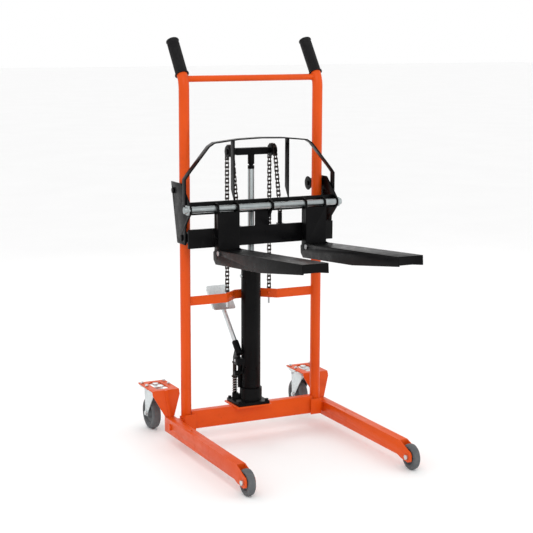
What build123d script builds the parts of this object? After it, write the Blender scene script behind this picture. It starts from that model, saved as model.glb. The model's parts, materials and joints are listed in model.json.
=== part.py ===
"""Hand stacker: two-tube mast, chain-lifted carriage with folding forks, foot-pump hydraulic ram.

Millimetres, +Z up. The front, where the forks point, is -Y, and X is the width. The pieces are drawn about
the plane of the two mast tubes, and save() moves them so that the origin lies on the floor under the middle.
"""
from build123d import *
from math import cos, radians, sin, sqrt
import os

# ---------------------------------------------------------------- overall sizes
MAST_SPACING = 590.0        # between the centres of the two mast tubes
MAST_BEND_Z = 1430.0        # where the tubes start to bend back into the handles
LEG_REACH = 690.0           # mast plane to front axle
LEG_OFFSET = 52.0           # mast tube centre to leg centre
FORK_LENGTH = 706.0         # hinge pin to blade tip
CARRIAGE_Z = 968.0          # height of the fork shaft at rest

# ---------------------------------------------------------------- clearances
RUN_FIT = 0.08              # radial, a shaft turning or sliding in a hole
FACE_GAP = 0.3              # between faces that turn or slide past each other
SIDE_GAP = 1.0              # between plates that swing past each other
PAST = 1.0                  # how far a cut runs past the face it leaves by
NUT_ACROSS = 1.6            # across the flats of a nut or bolt head, as a share of its bolt
PIN_HEAD = 1.6              # a pin's head or collar, as a share of its pin

# ---------------------------------------------------------------- mast
TUBE_D = 42.0
TUBE_WALL = 2.5
HANDLE_ANGLE = 36.5         # degrees from upright
HANDLE_BEND_R = 90.0
HANDLE_LENGTH = 158.0
CROSS_TUBE_D = 25.0
CROSS_TUBE_RISE = 38.0      # above the start of the bend
GRIP_WALL = 3.5
GRIP_FLANGE_WALL = 7.0
GRIP_CAP = 6.0
GRIP_FLANGE = 4.0
GRIP_RIBS = 17
GRIP_RIB_HEIGHT = 1.0
GRIP_RIB_SHARE = 0.6        # of each rib's pitch that is rib
STRAP_Z = 566.0
STRAP_HEIGHT = 37.0
STRAP_THICK = 6.0
CRANK_SLOPE = 63 / 57        # how far the strap's crank runs across for each step back
CRANK_GAP = 19.236842       # stud to the crank's middle line, across
STRAP_CLEARANCE = 4.0       # behind the cylinder
COPE_DEPTH = 6.0            # cross tube into the mast tubes' place before it is coped
WELD_DEPTH = 3.0            # how far a welded piece laps into its neighbour's place before it is coped

# ---------------------------------------------------------------- lower crossbar and feet
BAR_Z = 57.0
BAR_HEIGHT = 74.0
BAR_DEPTH = 30.0
BAR_WALL = 3.0
FOOT_PLATE = 6.0
FOOT_PLATE_WIDTH = 50.0
FOOT_HEIGHT = 51.0
FOOT_WIDTH = 40.0
FOOT_DEPTH = 46.0
FOOT_PLATE_DROP = 2.0       # below the crossbar
FOOT_PLATE_STEP = 10.0      # below the crossbar's top
FOOT_PLATE_INSET = 2.0
KNUCKLE_STEP = 8.0          # flat beside the knuckle, below the foot of the mast
KNUCKLE_D = 32.0
LEG_BOLT_D = 16.0
LEG_BOLT_HEAD = 5.0
LEG_BOLT_INSET = 6.0        # its inner end, inside the mast tube's place
LEG_BOLT_Z = 72.0
DECK_THICK = 6.0            # plate that carries the hydraulic unit
DECK_LEFT = -96.0
DECK_RIGHT = 60.0
DECK_FRONT = -66.0
DECK_REAR = 62.0
BASE_FROM_LEFT = 9.0        # edge of the deck to the hydraulic base
BASE_FROM_RIGHT = 8.0
BASE_FROM_ENDS = 4.0

# ---------------------------------------------------------------- legs and front wheels
LEG_WIDTH = 38.0
LEG_HEIGHT = 60.0
LEG_Z = 42.0
LEG_WALL = 3.0
LEG_REAR = 58.0
LEG_HOLE_D = 8.0
LEG_HOLE_Y = -175.0
FRONT_WHEEL_D = 100.0
FRONT_WHEEL_WIDTH = 27.0
WHEEL_SLOT_BACK = 58.0      # wheel slot, from the axle back to the end wall
END_WALL = 5.0
AXLE_D = 12.0
TREAD_ROUND = 7.0
AXLE_NUT = 9.0
AXLE_STUB = 1.0             # thread standing out of the nut
AXLE_NUT_ACROSS = 1.5       # as a share of the axle
FRONT_RIM_SHARE = 0.66      # rim diameter as a share of the wheel
FRONT_HUB_SHARE = 1.8       # hub diameter as a share of the axle
FRONT_FACE_SINK = 3.0
RIM_STEP = 2.0
# nose of the leg about the axle
TOE = [(-24.0, 24.0), (-31.0, 12.0), (-30.0, -10.0), (-6.0, -20.0), (44.0, -16.0)]
TOE_BACK = 70.0             # axle to where the underside is level

# ---------------------------------------------------------------- rear casters
CASTER_Y = 206.0            # swivel axis
CASTER_WHEEL_D = 136.0
CASTER_WHEEL_WIDTH = 36.0
CASTER_TRAIL = 45.0
CASTER_TOP_Z = 198.0        # top of the caster's own plate
CASTER_PLATE = 4.0
CASTER_PLATE_X = 117.0
CASTER_PLATE_Y = 75.0
CASTER_BOLTS_X = 97.0
CASTER_BOLTS_Y = 53.0
CASTER_BOLT_D = 8.0
RACE_D = 60.0
RACE_HEIGHT = 13.0
CROWN_THICK = 5.0
KINGPIN_D = 14.0
FORK_PLATE = 3.0
FORK_SIDE_GAP = 2.5
BRACKET_THICK = 5.0
BRACKET_FRONT = 92.0
BRACKET_REAR = 252.0
BRACKET_FOOT_Y = 50.0
BRACKET_RIB = 14.0
CUTOUT_WIDTH = 56.0
CUTOUT_FRONT = 116.0
BRAKE_REACH = 69.0          # rear edge of the brake pedal behind the axle
BRAKE_WIDTH = 44.0
BRAKE_THICK = 4.0
BRAKE_PIN_D = 8.0
BRAKE_HUB_D = 14.0
BRAKE_ARM = 34.0            # end of the flat arm behind the axle
BRAKE_LAP = 6.0
BRAKE_RISE = 15.0           # how far the pedal climbs
BRAKE_PIVOT = (13.0, -7.0)  # behind the axle, above the crown
CASTER_RIM_SHARE = 0.68
CASTER_HUB_SHARE = 2.4
CASTER_FACE_SINK = 5.0
CASTER_NUT = 7.0
CASTER_THREAD = 2.0
CROWN_FRONT = 31.0          # front edge of the caster fork ahead of the swivel
CROWN_BACK = 2.0            # rear edge of its top behind the axle
KINGPIN_HEAD = 7.0
KINGPIN_TAIL = 10.0
BRACKET_NUT = 6.5
BRACKET_FLARE = 14.0        # height of the upright part of the bracket's edge
RIB_LAP = 9.0
CASTER_BOLT_HEAD = 6.0
CASTER_BOLT_STUB = 9.0
DROPOUT = [(-14.0, 4.0), (-9.0, -12.0), (9.0, -12.0), (14.0, 4.0)]   # caster fork's ends about the axle
FORK_SHOULDER = [(-30.0, -12.0), (19.0, -22.0), (22.0, 0.0)]         # its front and rear shoulders

# ---------------------------------------------------------------- hydraulic unit
LIFT_Y = 10.0               # cylinder, ram and chain wheels
BASE_FLANGE = 12.0
BASE_COLLAR = 6.0           # wall of the collar round the cylinder foot
BASE_HEIGHT = 60.0          # deck to the top of the collar
BASE_BOLT_D = 8.0
BASE_BOLT_INSET = 9.0
CYLINDER_D = 80.0
CYLINDER_BORE = 60.0
CYLINDER_TOP_Z = 700.0
GLAND_D = 66.0
GLAND_HEIGHT = 28.0
GLAND_SPIGOT = 10.0
ROD_D = 26.0
ROD_SPIGOT_D = 12.0         # turned end that is screwed into the crosshead
ROD_SPIGOT_END = 8.0
PISTON_HEIGHT = 20.0
RAM_DOWN = 350.0            # travel below rest
RAM_DOWN_SPARE = 8.0
NECK_D = 27.0
NECK_LENGTH = 38.0
GROOVE_D = 18.0
GROOVE_HEIGHT = 6.0
HEAD_COLLAR = 13.0
PUMP_GAP = 2.0              # lever socket to the cylinder
PUMP_Y = 48.0
PUMP_BARREL_D = 27.0
PUMP_BARREL_HEIGHT = 21.0
PLUNGER_D = 16.0
PLUNGER_STROKE = 16.5
PLUNGER_CAP_D = 22.0
PLUNGER_CAP = 6.0
SPRING_LENGTH = 67.0
SPRING_D = 24.0
SPRING_WIRE = 3.2
SPRING_SEAT = 6.0
PIVOT_Y = 11.0
PIVOT_Z = 316.0
PIVOT_D = 8.0
PIVOT_HEAD = 3.0
BRACKET_SLOT = 12.0
CHEEK = 8.0
NOSE_D = 12.0
LEVER_START = (9.0, 352.0)  # where the lever tube enters its socket, Y and Z
LEVER_ANGLE = 45.7
LEVER_D = 20.0
LEVER_WALL = 2.0
LEVER_LENGTH = 325.0
SOCKET_D = 28.0
SOCKET_LENGTH = 50.0
SOCKET_BACK = 12.0
TONGUE_R = 9.0
TONGUE_NECK = 5.0
TONGUE_BACK = 26.0
PEDAL_WIDTH = 100.0
PEDAL_LENGTH = 122.0
PEDAL_THICK = 4.0
PEDAL_LIP = 9.0
PEDAL_LIP_THICK = 3.0
PEDAL_ROUND = 8.0
PEDAL_LIP_INSET = 12.0      # lip ends short of the pedal's corners
PEDAL_SINK = 1.0            # pedal plate let into the tube
LEVER_CAP = 4.0             # closed end of the lever tube
VALVE_Z = 262.0
VALVE_KNOB_D = 22.0
VALVE_KNOB = 22.0
VALVE_BOSS = 12.0
PLUG_Z = 668.0
PLUG_D = 13.0
PLUG_HEAD = 8.0
PLUG_CORE = 0.6             # its thread as a share of the head
VALVE_BOSS_D = 18.0
VALVE_STEM_D = 6.0
VALVE_NECK_D = 14.0
VALVE_NECK = 6.0
VALVE_SEAT = 2.0            # stem end inside the cylinder wall
BASE_WASHER = 2.0
BASE_HEAD = 7.0
COUNTERBORE_GAP = 0.5
BARREL_SET = 6.0            # barrel centre ahead of the plunger
GALLERY = (-20.0, -4.0)     # block between barrel and collar, about the plunger
GALLERY_STEP = 4.0
PLUNGER_BORE_SPARE = 9.0
PLUNGER_DIP = 7.0
OIL_TUBE_D = 16.0
OIL_TUBE_X = -44.0
OIL_TUBE_Y = 25.0
CHEEK_FRONT = 20.0
CHEEK_REAR = 14.0
CHEEK_DROP = 18.0
CHEEK_RISE = 10.0
CHEEK_ROOM = (-12.0, 15.0)  # slot between the cheeks, about the pivot

# ---------------------------------------------------------------- chain gear
HEAD_BAR_Z = 1162.0
HEAD_BAR_HEIGHT = 28.0
HEAD_BAR_LENGTH = 138.0
HEAD_BAR_DEPTH = 24.0
CHAIN_X = 95.0
CHAIN_WIDTH = 16.0
CHAIN_THICK = 9.0
CHAIN_SEAT_R = 21.0         # radius that the chain lies on
CHAIN_WHEEL_WIDTH = 22.0
CHAIN_FLANGE_R = 26.0
CHAIN_PIN_D = 14.0
CHAIN_PIN_END = 5.0
REAR_ANCHOR_Z = 600.0
STUD_D = 10.0
STUD_LAP = 4.0              # stud inside the chain's end block
STUD_NUT = 8.0
STUD_NUT_PITCH = 9.0
STUD_LENGTH = 62.0
LUG_THICK = 8.0
LUG_WIDTH = 26.0
LUG_Z = 582.0
FRONT_LUG_RIM = 3.0         # carriage lug beyond the chain on each side
FRONT_LUG_REACH = 6.0       # and behind it
FRONT_LUG_RIB = 6.0
FRONT_LUG_DROP = 42.0

# ---------------------------------------------------------------- carriage
SIDE_PLATE = 6.0
TUBE_TO_PLATE = 4.0         # outside of the mast tube to the side plate
SHAFT_D = 27.0
SHAFT_GAP = 2.5             # shaft to the crossbars
SHAFT_EAR = 8.5             # metal round the shaft in the fork shanks
SHAFT_END = 20.0            # shaft standing out of each side plate
SHAFT_NUT = 9.0
SHAFT_NUT_RIM = 5.0
BARS_FRONT = -97.0
BARS_THICK = 12.0
UPPER_BAR_HEIGHT = 50.0
UPPER_BAR_DROP = 23.0       # shaft centre to the lower edge of the upper bar
LOWER_BAR_HEIGHT = 75.0
LOWER_BAR_DROP = 155.0      # shaft centre to the lower edge of the lower bar
ROLLER_WIDTH = 38.0
ROLLER_ROOT_R = 20.0
ROLLER_HALF_GROOVE = 17.0
ROLLER_UPPER_RISE = 62.0    # above the shaft
ROLLER_LOWER_DROP = 118.0   # below the shaft
ROLLER_PIN_D = 14.0
ROLLER_PIN_HEAD_D = 22.0
ROLLER_PIN_HEAD = 5.0
PLATE_REAR = 24.0           # side plate behind the upper rollers' centre
PLATE_TOP_RISE = 96.0       # its top above the shaft
PLATE_SHOULDER_Y = -36.0
PLATE_BROW_RISE = 44.0
PLATE_CHIN = 38.0           # its front edge ahead of the lower rollers' centre
PLATE_CHIN_DROP = 62.0
PLATE_TOE = 31.0
PLATE_TOE_RISE = 12.0       # its lower edge above the lower bar's
PLATE_HEEL_Y = 6.0
NOSE_RIM = 6.5              # metal round the shaft in the side plates
FRONT_ANCHOR_Z = 930.0
FRONT_ANCHOR_Y = -62.0
GUARD_DEPTH = 30.0
GUARD_FRONT = -90.0
GUARD_THICK = 5.0
GUARD_TOP_RISE = 268.0      # above the shaft
GUARD_UPRIGHT_X = 120.0
GUARD_FOOT_RISE = 17.0      # its feet, knees and shoulders above the shaft
GUARD_KNEE_RISE = 116.0
GUARD_KNEE = 18.0
GUARD_KNEE_STEP = 24.0
GUARD_SHOULDER = (0.69, 0.62, 0.3)               # places of the shoulder bends, as a share of the half width
GUARD_SHOULDER_DROP = (28.0, 14.0, 3.0)          # and below the guard's top
UPRIGHT_TAPER = 40.0
REST_PLATE = 62.0
REST_PLATE_THICK = 8.0
SHAFT_REST = 10.0
SHAFT_REST_X = 30.0
REST_R = 22.0
REST_FOOT = 30.0            # its foot above the lower bar

# ---------------------------------------------------------------- forks
FORK_PLACES = {"left": -165.2, "right": 221.8}   # middle of each fork at rest
SHANK_WIDTH = 92.0
SHANK_DEPTH = 40.0
SHANK_WEB = 8.0
SHANK_FLANGE = 6.0
HINGE_DROP = 171.0          # shaft centre to hinge pin
HINGE_FORWARD = 39.0        # shaft centre to hinge pin
HINGE_PIN_D = 14.0
HINGE_LUG_R = 14.0
LUG_NOSE = 12.0             # lug ahead of the pin
EAR_CORNER = 5.0
HINGE_HEAD_D = 20.0
HINGE_HEAD = 4.0
BLADE_TILT = 4.5            # degrees, tip up
BLADE_WALL = 5.0
BLADE_TOP = 11.0            # top face above the hinge pin
BLADE_HEEL_DEPTH = 57.0
BLADE_TIP_DEPTH = 36.0
BLADE_KINK = 370.0
BLADE_BACK = 52.0           # cheeks behind the hinge pin
BLADE_TOP_START = 24.0      # its top plate starts this far past the hinge pin
WEB_UNDER_SHAFT = 1.0
STOP_BAR_D = 12.0
HEEL_STEP = 9.0
HEEL_RUN = 14.0
HEEL_CUT = 18.0
CAP_SET = 1.0               # tip cap behind the ends of the cheeks
CAP_RISE = 4.0
BEARING_GAP = 1.0           # shank flange to the carriage bars

# ---------------------------------------------------------------- worked out from the above
SIDES = {"left": -1, "right": 1}
TUBE_R = TUBE_D / 2
GRIP_D = TUBE_D + 2 * GRIP_WALL
GRIP_FLANGE_D = TUBE_D + 2 * GRIP_FLANGE_WALL
MAST_X = MAST_SPACING / 2
MAST_FOOT_Z = BAR_Z + FOOT_HEIGHT
LEG_CENTRE_X = MAST_X + LEG_OFFSET
SHAFT_Y = BARS_FRONT - SHAFT_GAP - SHAFT_D / 2
SHAFT_NUT_D = SHAFT_D + 2 * SHAFT_NUT_RIM
NOSE_R = SHAFT_D / 2 + NOSE_RIM
EAR_R = SHAFT_D / 2 + SHAFT_EAR
PUMP_X = -(CYLINDER_D + SOCKET_D) / 2 - PUMP_GAP
BASE_COLLAR_D = CYLINDER_D + 2 * BASE_COLLAR
BAR_TOP = BAR_Z + BAR_HEIGHT
DECK_TOP = BAR_TOP + DECK_THICK
COLLAR_TOP = DECK_TOP + BASE_HEIGHT
BASE_X = (DECK_LEFT + BASE_FROM_LEFT, DECK_RIGHT - BASE_FROM_RIGHT)
BASE_Y = (DECK_FRONT + BASE_FROM_ENDS, DECK_REAR - BASE_FROM_ENDS)
HANDLE_START_Y = HANDLE_BEND_R * (1 - cos(radians(HANDLE_ANGLE)))
HANDLE_START_Z = MAST_BEND_Z + HANDLE_BEND_R * sin(radians(HANDLE_ANGLE))
CROSS_TUBE_Z = MAST_BEND_Z + CROSS_TUBE_RISE
CROSS_TUBE_Y = HANDLE_BEND_R - sqrt(HANDLE_BEND_R ** 2 - CROSS_TUBE_RISE ** 2)
CROSS_TUBE_LENGTH = MAST_SPACING - TUBE_D + 2 * COPE_DEPTH
STRAP_BACK_Y = LIFT_Y + CYLINDER_D / 2 + STRAP_CLEARANCE + STRAP_THICK / 2
LEG_TOP = LEG_Z + LEG_HEIGHT
LEG_INNER_X = LEG_CENTRE_X - LEG_WIDTH / 2
LEG_OUTER_X = LEG_CENTRE_X + LEG_WIDTH / 2
AXLE_Z = FRONT_WHEEL_D / 2
SLOT_WIDTH = LEG_WIDTH - 2 * LEG_WALL
CASTER_AXLE_Y = CASTER_Y + CASTER_TRAIL
CASTER_AXLE_Z = CASTER_WHEEL_D / 2
CASTER_PLATE_Z = CASTER_TOP_Z - CASTER_PLATE
BRACKET_TOP = CASTER_TOP_Z + BRACKET_THICK
CROWN_TOP = CASTER_PLATE_Z - RACE_HEIGHT - FACE_GAP
CROWN_Z = CROWN_TOP - RACE_HEIGHT
CASTER_FORK_X = CASTER_WHEEL_WIDTH / 2 + FORK_SIDE_GAP
ROD_BOTTOM = COLLAR_TOP + RAM_DOWN + RAM_DOWN_SPARE
CHAIN_WHEEL_Z = HEAD_BAR_Z + HEAD_BAR_HEIGHT / 2
HEAD_FOOT_Z = HEAD_BAR_Z - NECK_LENGTH - GROOVE_HEIGHT - HEAD_COLLAR
CHAIN_R = CHAIN_SEAT_R + CHAIN_THICK / 2
FRONT_CHAIN_Y = LIFT_Y - CHAIN_R
REAR_CHAIN_Y = LIFT_Y + CHAIN_R
STRAP_BEND_OUT = CHAIN_X - CRANK_GAP + REAR_CHAIN_Y * CRANK_SLOPE
STRAP_BEND_IN = STRAP_BEND_OUT - STRAP_BACK_Y * CRANK_SLOPE
PLATE_INNER_X = MAST_X + TUBE_R + TUBE_TO_PLATE
PLATE_OUTER_X = PLATE_INNER_X + SIDE_PLATE
ROLLER_Y = TUBE_R + FACE_GAP + ROLLER_ROOT_R
GROOVE_R = TUBE_R + FACE_GAP
ROLLER_RIM_R = ROLLER_Y - sqrt(GROOVE_R ** 2 - ROLLER_HALF_GROOVE ** 2)
LOWER_BAR_Z = CARRIAGE_Z - LOWER_BAR_DROP
UPPER_BAR_Z = CARRIAGE_Z - UPPER_BAR_DROP
UPPER_BAR_TOP = UPPER_BAR_Z + UPPER_BAR_HEIGHT
LOWER_BAR_TOP = LOWER_BAR_Z + LOWER_BAR_HEIGHT
BARS_REAR = BARS_FRONT + BARS_THICK
HINGE_Y = SHAFT_Y - HINGE_FORWARD
HINGE_Z = CARRIAGE_Z - HINGE_DROP
SHANK_REAR = BARS_FRONT - BEARING_GAP
SHANK_FRONT = SHANK_REAR - SHANK_DEPTH
SHANK_BOTTOM = HINGE_Z - HINGE_LUG_R
BLADE_WIDTH = SHANK_WIDTH + 2 * SIDE_GAP + 2 * BLADE_WALL
BLADE_DIR = (-cos(radians(BLADE_TILT)), sin(radians(BLADE_TILT)))
BLADE_UP = (sin(radians(BLADE_TILT)), cos(radians(BLADE_TILT)))
TIP_Y = HINGE_Y + FORK_LENGTH * BLADE_DIR[0] + (BLADE_TOP - BLADE_TIP_DEPTH) * BLADE_UP[0]
REAR_Y = CASTER_AXLE_Y + max(BRAKE_REACH, CASTER_WHEEL_D / 2)
LEVER_DIR = (cos(radians(LEVER_ANGLE)), sin(radians(LEVER_ANGLE)))
BARREL_TOP = DECK_TOP + BASE_FLANGE + PUMP_BARREL_HEIGHT
SPRING_TOP = BARREL_TOP + SPRING_LENGTH
PLUNGER_TOP = PIVOT_Z - NOSE_D - FACE_GAP - 2 * FACE_GAP
SHIFT_Y = -(TIP_Y + REAR_Y) / 2

os.makedirs("parts", exist_ok=True)


def save(piece, label):
    """Move a finished piece into the shared frame, name it and write it."""
    solid = piece.part.moved(Location((0, SHIFT_Y, 0)))
    solid.label = label
    export_step(solid, f"parts/{label}.step")


def band(points, thick):
    """Outline of a flat bar of even thickness whose middle line runs through points, with mitred bends."""
    half = thick / 2
    sides = ([], [])
    for index, here in enumerate(points):
        here = Vector(*here)
        before = Vector(*points[max(index - 1, 0)])
        after = Vector(*points[min(index + 1, len(points) - 1)])
        into = (here - before).normalized() if index else (after - here).normalized()
        out = (after - here).normalized() if index < len(points) - 1 else into
        along = (into + out).normalized()
        normal = Vector(-along.Y, along.X)
        reach = half / max(into.dot(along), 0.2)
        sides[0].append(here + normal * reach)
        sides[1].append(here - normal * reach)
    return [(p.X, p.Y) for p in sides[0] + sides[1][::-1]]


def rod_x(x_from, x_to, y, z, radius, mode=Mode.ADD):
    """A round bar along X, from one X to another."""
    with BuildSketch(Plane.YZ.offset(x_from)) as section:
        with Locations((y, z)):
            Circle(radius)
    extrude(section.sketch, amount=x_to - x_from, mode=mode)


def rod_z(x, y, z_from, z_to, radius, mode=Mode.ADD):
    """A round bar along Z, from one height to another."""
    with BuildSketch(Plane.XY.offset(z_from)) as section:
        with Locations((x, y)):
            Circle(radius)
    extrude(section.sketch, amount=z_to - z_from, mode=mode)


def hex_z(x, y, z_from, z_to, across):
    """A hexagon bar along Z, such as a nut or a bolt head."""
    with BuildSketch(Plane.XY.offset(z_from)) as section:
        with Locations((x, y)):
            RegularPolygon(across / 2, 6, major_radius=False)
    extrude(section.sketch, amount=z_to - z_from)


def hex_x(x_from, x_to, y, z, across):
    """A hexagon bar along X."""
    with BuildSketch(Plane.YZ.offset(x_from)) as section:
        with Locations((y, z)):
            RegularPolygon(across / 2, 6, major_radius=False)
    extrude(section.sketch, amount=x_to - x_from)


def box(x, y, z, mode=Mode.ADD):
    """A block given by its lowest and highest X, Y and Z."""
    with BuildSketch(Plane.XY.offset(z[0])) as section:
        with Locations(((x[0] + x[1]) / 2, (y[0] + y[1]) / 2)):
            Rectangle(abs(x[1] - x[0]), abs(y[1] - y[0]))
    extrude(section.sketch, amount=z[1] - z[0], mode=mode)


def plate_x(x_from, x_to, outline, mode=Mode.ADD):
    """A flat plate that stands across X, with its outline given as Y and Z."""
    with BuildSketch(Plane.YZ.offset(x_from)) as section:
        with BuildLine():
            Polyline(*outline, close=True)
        make_face()
    extrude(section.sketch, amount=x_to - x_from, mode=mode)


def span(a, b):
    """Two X places in rising order, so that mirrored pieces can share one description."""
    return (min(a, b), max(a, b))


# ================================================================ mast
def mast_line(side):
    with BuildLine(Plane.YZ.offset(side * MAST_X)) as path:
        upright = Line((0, MAST_FOOT_Z), (0, MAST_BEND_Z))
        bend = JernArc(upright @ 1, upright % 1, HANDLE_BEND_R, -HANDLE_ANGLE)
        Line(bend @ 1, bend @ 1 + HANDLE_LENGTH * (bend % 1))
    return path


def mast_core(side, radius):
    """The mast tube's path as a solid bar: the tube itself, its bore, and what neighbours are coped with."""
    path = mast_line(side)
    with BuildPart() as core:
        with BuildSketch(Plane.XY.offset(MAST_FOOT_Z)):
            with Locations((side * MAST_X, 0)):
                Circle(radius)
        sweep(path=path.wires()[0])
    return core


mast_outside = {name: mast_core(side, TUBE_R) for name, side in SIDES.items()}

for name, side in SIDES.items():
    bore = mast_core(side, TUBE_R - TUBE_WALL)
    with BuildPart() as mast_tube:
        add(mast_outside[name].part)
        add(bore.part, mode=Mode.SUBTRACT)
    save(mast_tube, f"mast_tube_{name}")

    handle = Plane(
        origin=(side * MAST_X, HANDLE_START_Y, HANDLE_START_Z),
        x_dir=(1, 0, 0),
        z_dir=(0, sin(radians(HANDLE_ANGLE)), cos(radians(HANDLE_ANGLE))),
    )
    pitch = HANDLE_LENGTH / GRIP_RIBS
    with BuildPart() as grip:
        with BuildSketch(handle):
            Circle(GRIP_D / 2 - GRIP_RIB_HEIGHT)
        extrude(amount=HANDLE_LENGTH + GRIP_CAP)
        for rib in range(GRIP_RIBS):
            with BuildSketch(handle.offset(rib * pitch)):
                Circle(GRIP_D / 2)
            extrude(amount=pitch * GRIP_RIB_SHARE)
        for end in (0, HANDLE_LENGTH + GRIP_CAP - GRIP_FLANGE):
            with BuildSketch(handle.offset(end)):
                Circle(GRIP_FLANGE_D / 2)
            extrude(amount=GRIP_FLANGE)
        with BuildSketch(handle):
            Circle(TUBE_R)
        extrude(amount=HANDLE_LENGTH, mode=Mode.SUBTRACT)
    save(grip, f"handle_grip_{name}")

with BuildPart() as top_cross_tube:
    rod_x(-CROSS_TUBE_LENGTH / 2, CROSS_TUBE_LENGTH / 2, CROSS_TUBE_Y, CROSS_TUBE_Z, CROSS_TUBE_D / 2)
    for outside in mast_outside.values():
        add(outside.part, mode=Mode.SUBTRACT)
    rod_x(-CROSS_TUBE_LENGTH / 2, CROSS_TUBE_LENGTH / 2, CROSS_TUBE_Y, CROSS_TUBE_Z,
          CROSS_TUBE_D / 2 - TUBE_WALL, mode=Mode.SUBTRACT)
save(top_cross_tube, "top_cross_tube")

strap_line = [
    (-MAST_X, 0), (-STRAP_BEND_OUT, 0), (-STRAP_BEND_IN, STRAP_BACK_Y),
    (STRAP_BEND_IN, STRAP_BACK_Y), (STRAP_BEND_OUT, 0), (MAST_X, 0),
]
with BuildPart() as middle_strap:
    with BuildSketch(Plane.XY.offset(STRAP_Z)):
        with BuildLine():
            Polyline(*band(strap_line, STRAP_THICK), close=True)
        make_face()
    extrude(amount=STRAP_HEIGHT)
    for outside in mast_outside.values():
        add(outside.part, mode=Mode.SUBTRACT)
    for side in SIDES.values():
        crank_y = STRAP_BACK_Y * (STRAP_BEND_OUT - CHAIN_X) / (STRAP_BEND_OUT - STRAP_BEND_IN)
        box(span(side * CHAIN_X - LUG_WIDTH / 2, side * CHAIN_X + LUG_WIDTH / 2),
            (crank_y, REAR_CHAIN_Y + LUG_WIDTH / 2), (LUG_Z, LUG_Z + LUG_THICK))
        rod_z(side * CHAIN_X, REAR_CHAIN_Y, LUG_Z - PAST, LUG_Z + LUG_THICK + PAST, STUD_D / 2,
              mode=Mode.SUBTRACT)
save(middle_strap, "middle_strap")

with BuildPart() as chain_anchor_studs:
    for side in SIDES.values():
        x = side * CHAIN_X
        stud_top = REAR_ANCHOR_Z
        rod_z(x, REAR_CHAIN_Y, stud_top - STUD_LENGTH, stud_top - STUD_LAP, STUD_D / 2)
        box(span(x - CHAIN_WIDTH / 2, x + CHAIN_WIDTH / 2),
            (REAR_CHAIN_Y - CHAIN_THICK / 2, REAR_CHAIN_Y + CHAIN_THICK / 2),
            (LUG_Z + LUG_THICK, stud_top))
        for step in (0, 1):
            nut_top = LUG_Z - step * STUD_NUT_PITCH
            hex_z(x, REAR_CHAIN_Y, nut_top - STUD_NUT, nut_top, STUD_D * NUT_ACROSS)
save(chain_anchor_studs, "chain_anchor_studs")

# ================================================================ lower crossbar, feet and deck
base_bolts = [
    (x, y)
    for x in (BASE_X[0] + BASE_BOLT_INSET, BASE_X[1] - BASE_BOLT_INSET)
    for y in (BASE_Y[0] + BASE_BOLT_INSET, BASE_Y[1] - BASE_BOLT_INSET)
]
bar_end = MAST_X - TUBE_R + WELD_DEPTH
foot_outer = MAST_X - TUBE_R + FOOT_WIDTH
bolt_start = MAST_X - TUBE_R + LEG_BOLT_INSET

with BuildPart() as lower_crossbar:
    box((-bar_end, bar_end), (-BAR_DEPTH / 2, BAR_DEPTH / 2), (BAR_Z, BAR_TOP))
    box((-bar_end - PAST, bar_end + PAST), (-BAR_DEPTH / 2 + BAR_WALL, BAR_DEPTH / 2 - BAR_WALL),
        (BAR_Z + BAR_WALL, BAR_TOP - BAR_WALL), mode=Mode.SUBTRACT)
    box((DECK_LEFT, DECK_RIGHT), (DECK_FRONT, DECK_REAR), (BAR_TOP, DECK_TOP))
    for side in SIDES.values():
        inner = side * (MAST_X - TUBE_R)
        box(span(inner, side * foot_outer), (-FOOT_DEPTH / 2, FOOT_DEPTH / 2), (BAR_Z, MAST_FOOT_Z))
        box(span(side * (foot_outer - FOOT_PLATE_WIDTH), side * (foot_outer - FOOT_PLATE_INSET)),
            (-FOOT_DEPTH / 2 - FOOT_PLATE, -FOOT_DEPTH / 2), (BAR_Z - FOOT_PLATE_DROP,
             BAR_TOP - FOOT_PLATE_STEP))
        rod_x(side * foot_outer, side * LEG_INNER_X, 0, LEG_BOLT_Z, KNUCKLE_D / 2)
        box(span(side * foot_outer, side * LEG_INNER_X), (-KNUCKLE_D / 2, KNUCKLE_D / 2),
            (LEG_BOLT_Z, MAST_FOOT_Z - KNUCKLE_STEP))
        rod_x(bolt_start * side, side * LEG_OUTER_X, 0, LEG_BOLT_Z, LEG_BOLT_D / 2, mode=Mode.SUBTRACT)
    for outside in mast_outside.values():
        add(outside.part, mode=Mode.SUBTRACT)
    for x, y in base_bolts:
        rod_z(x, y, BAR_TOP - BAR_WALL - PAST, DECK_TOP + PAST, BASE_BOLT_D / 2, mode=Mode.SUBTRACT)
save(lower_crossbar, "lower_crossbar")

with BuildPart() as frame_bolts:
    for side in SIDES.values():
        rod_x(side * bolt_start, side * LEG_OUTER_X, 0, LEG_BOLT_Z, LEG_BOLT_D / 2)
        rod_x(side * LEG_OUTER_X, side * (LEG_OUTER_X + LEG_BOLT_HEAD), 0, LEG_BOLT_Z,
              LEG_BOLT_D * PIN_HEAD / 2)
    for x, y in base_bolts:
        bolt_top = DECK_TOP + BASE_FLANGE
        rod_z(x, y, BAR_TOP - BAR_WALL, bolt_top, BASE_BOLT_D / 2)
        rod_z(x, y, bolt_top, bolt_top + BASE_WASHER, BASE_BOLT_D)
        hex_z(x, y, bolt_top + BASE_WASHER, bolt_top + BASE_WASHER + BASE_HEAD, BASE_BOLT_D * NUT_ACROSS)
save(frame_bolts, "frame_bolts")

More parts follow.
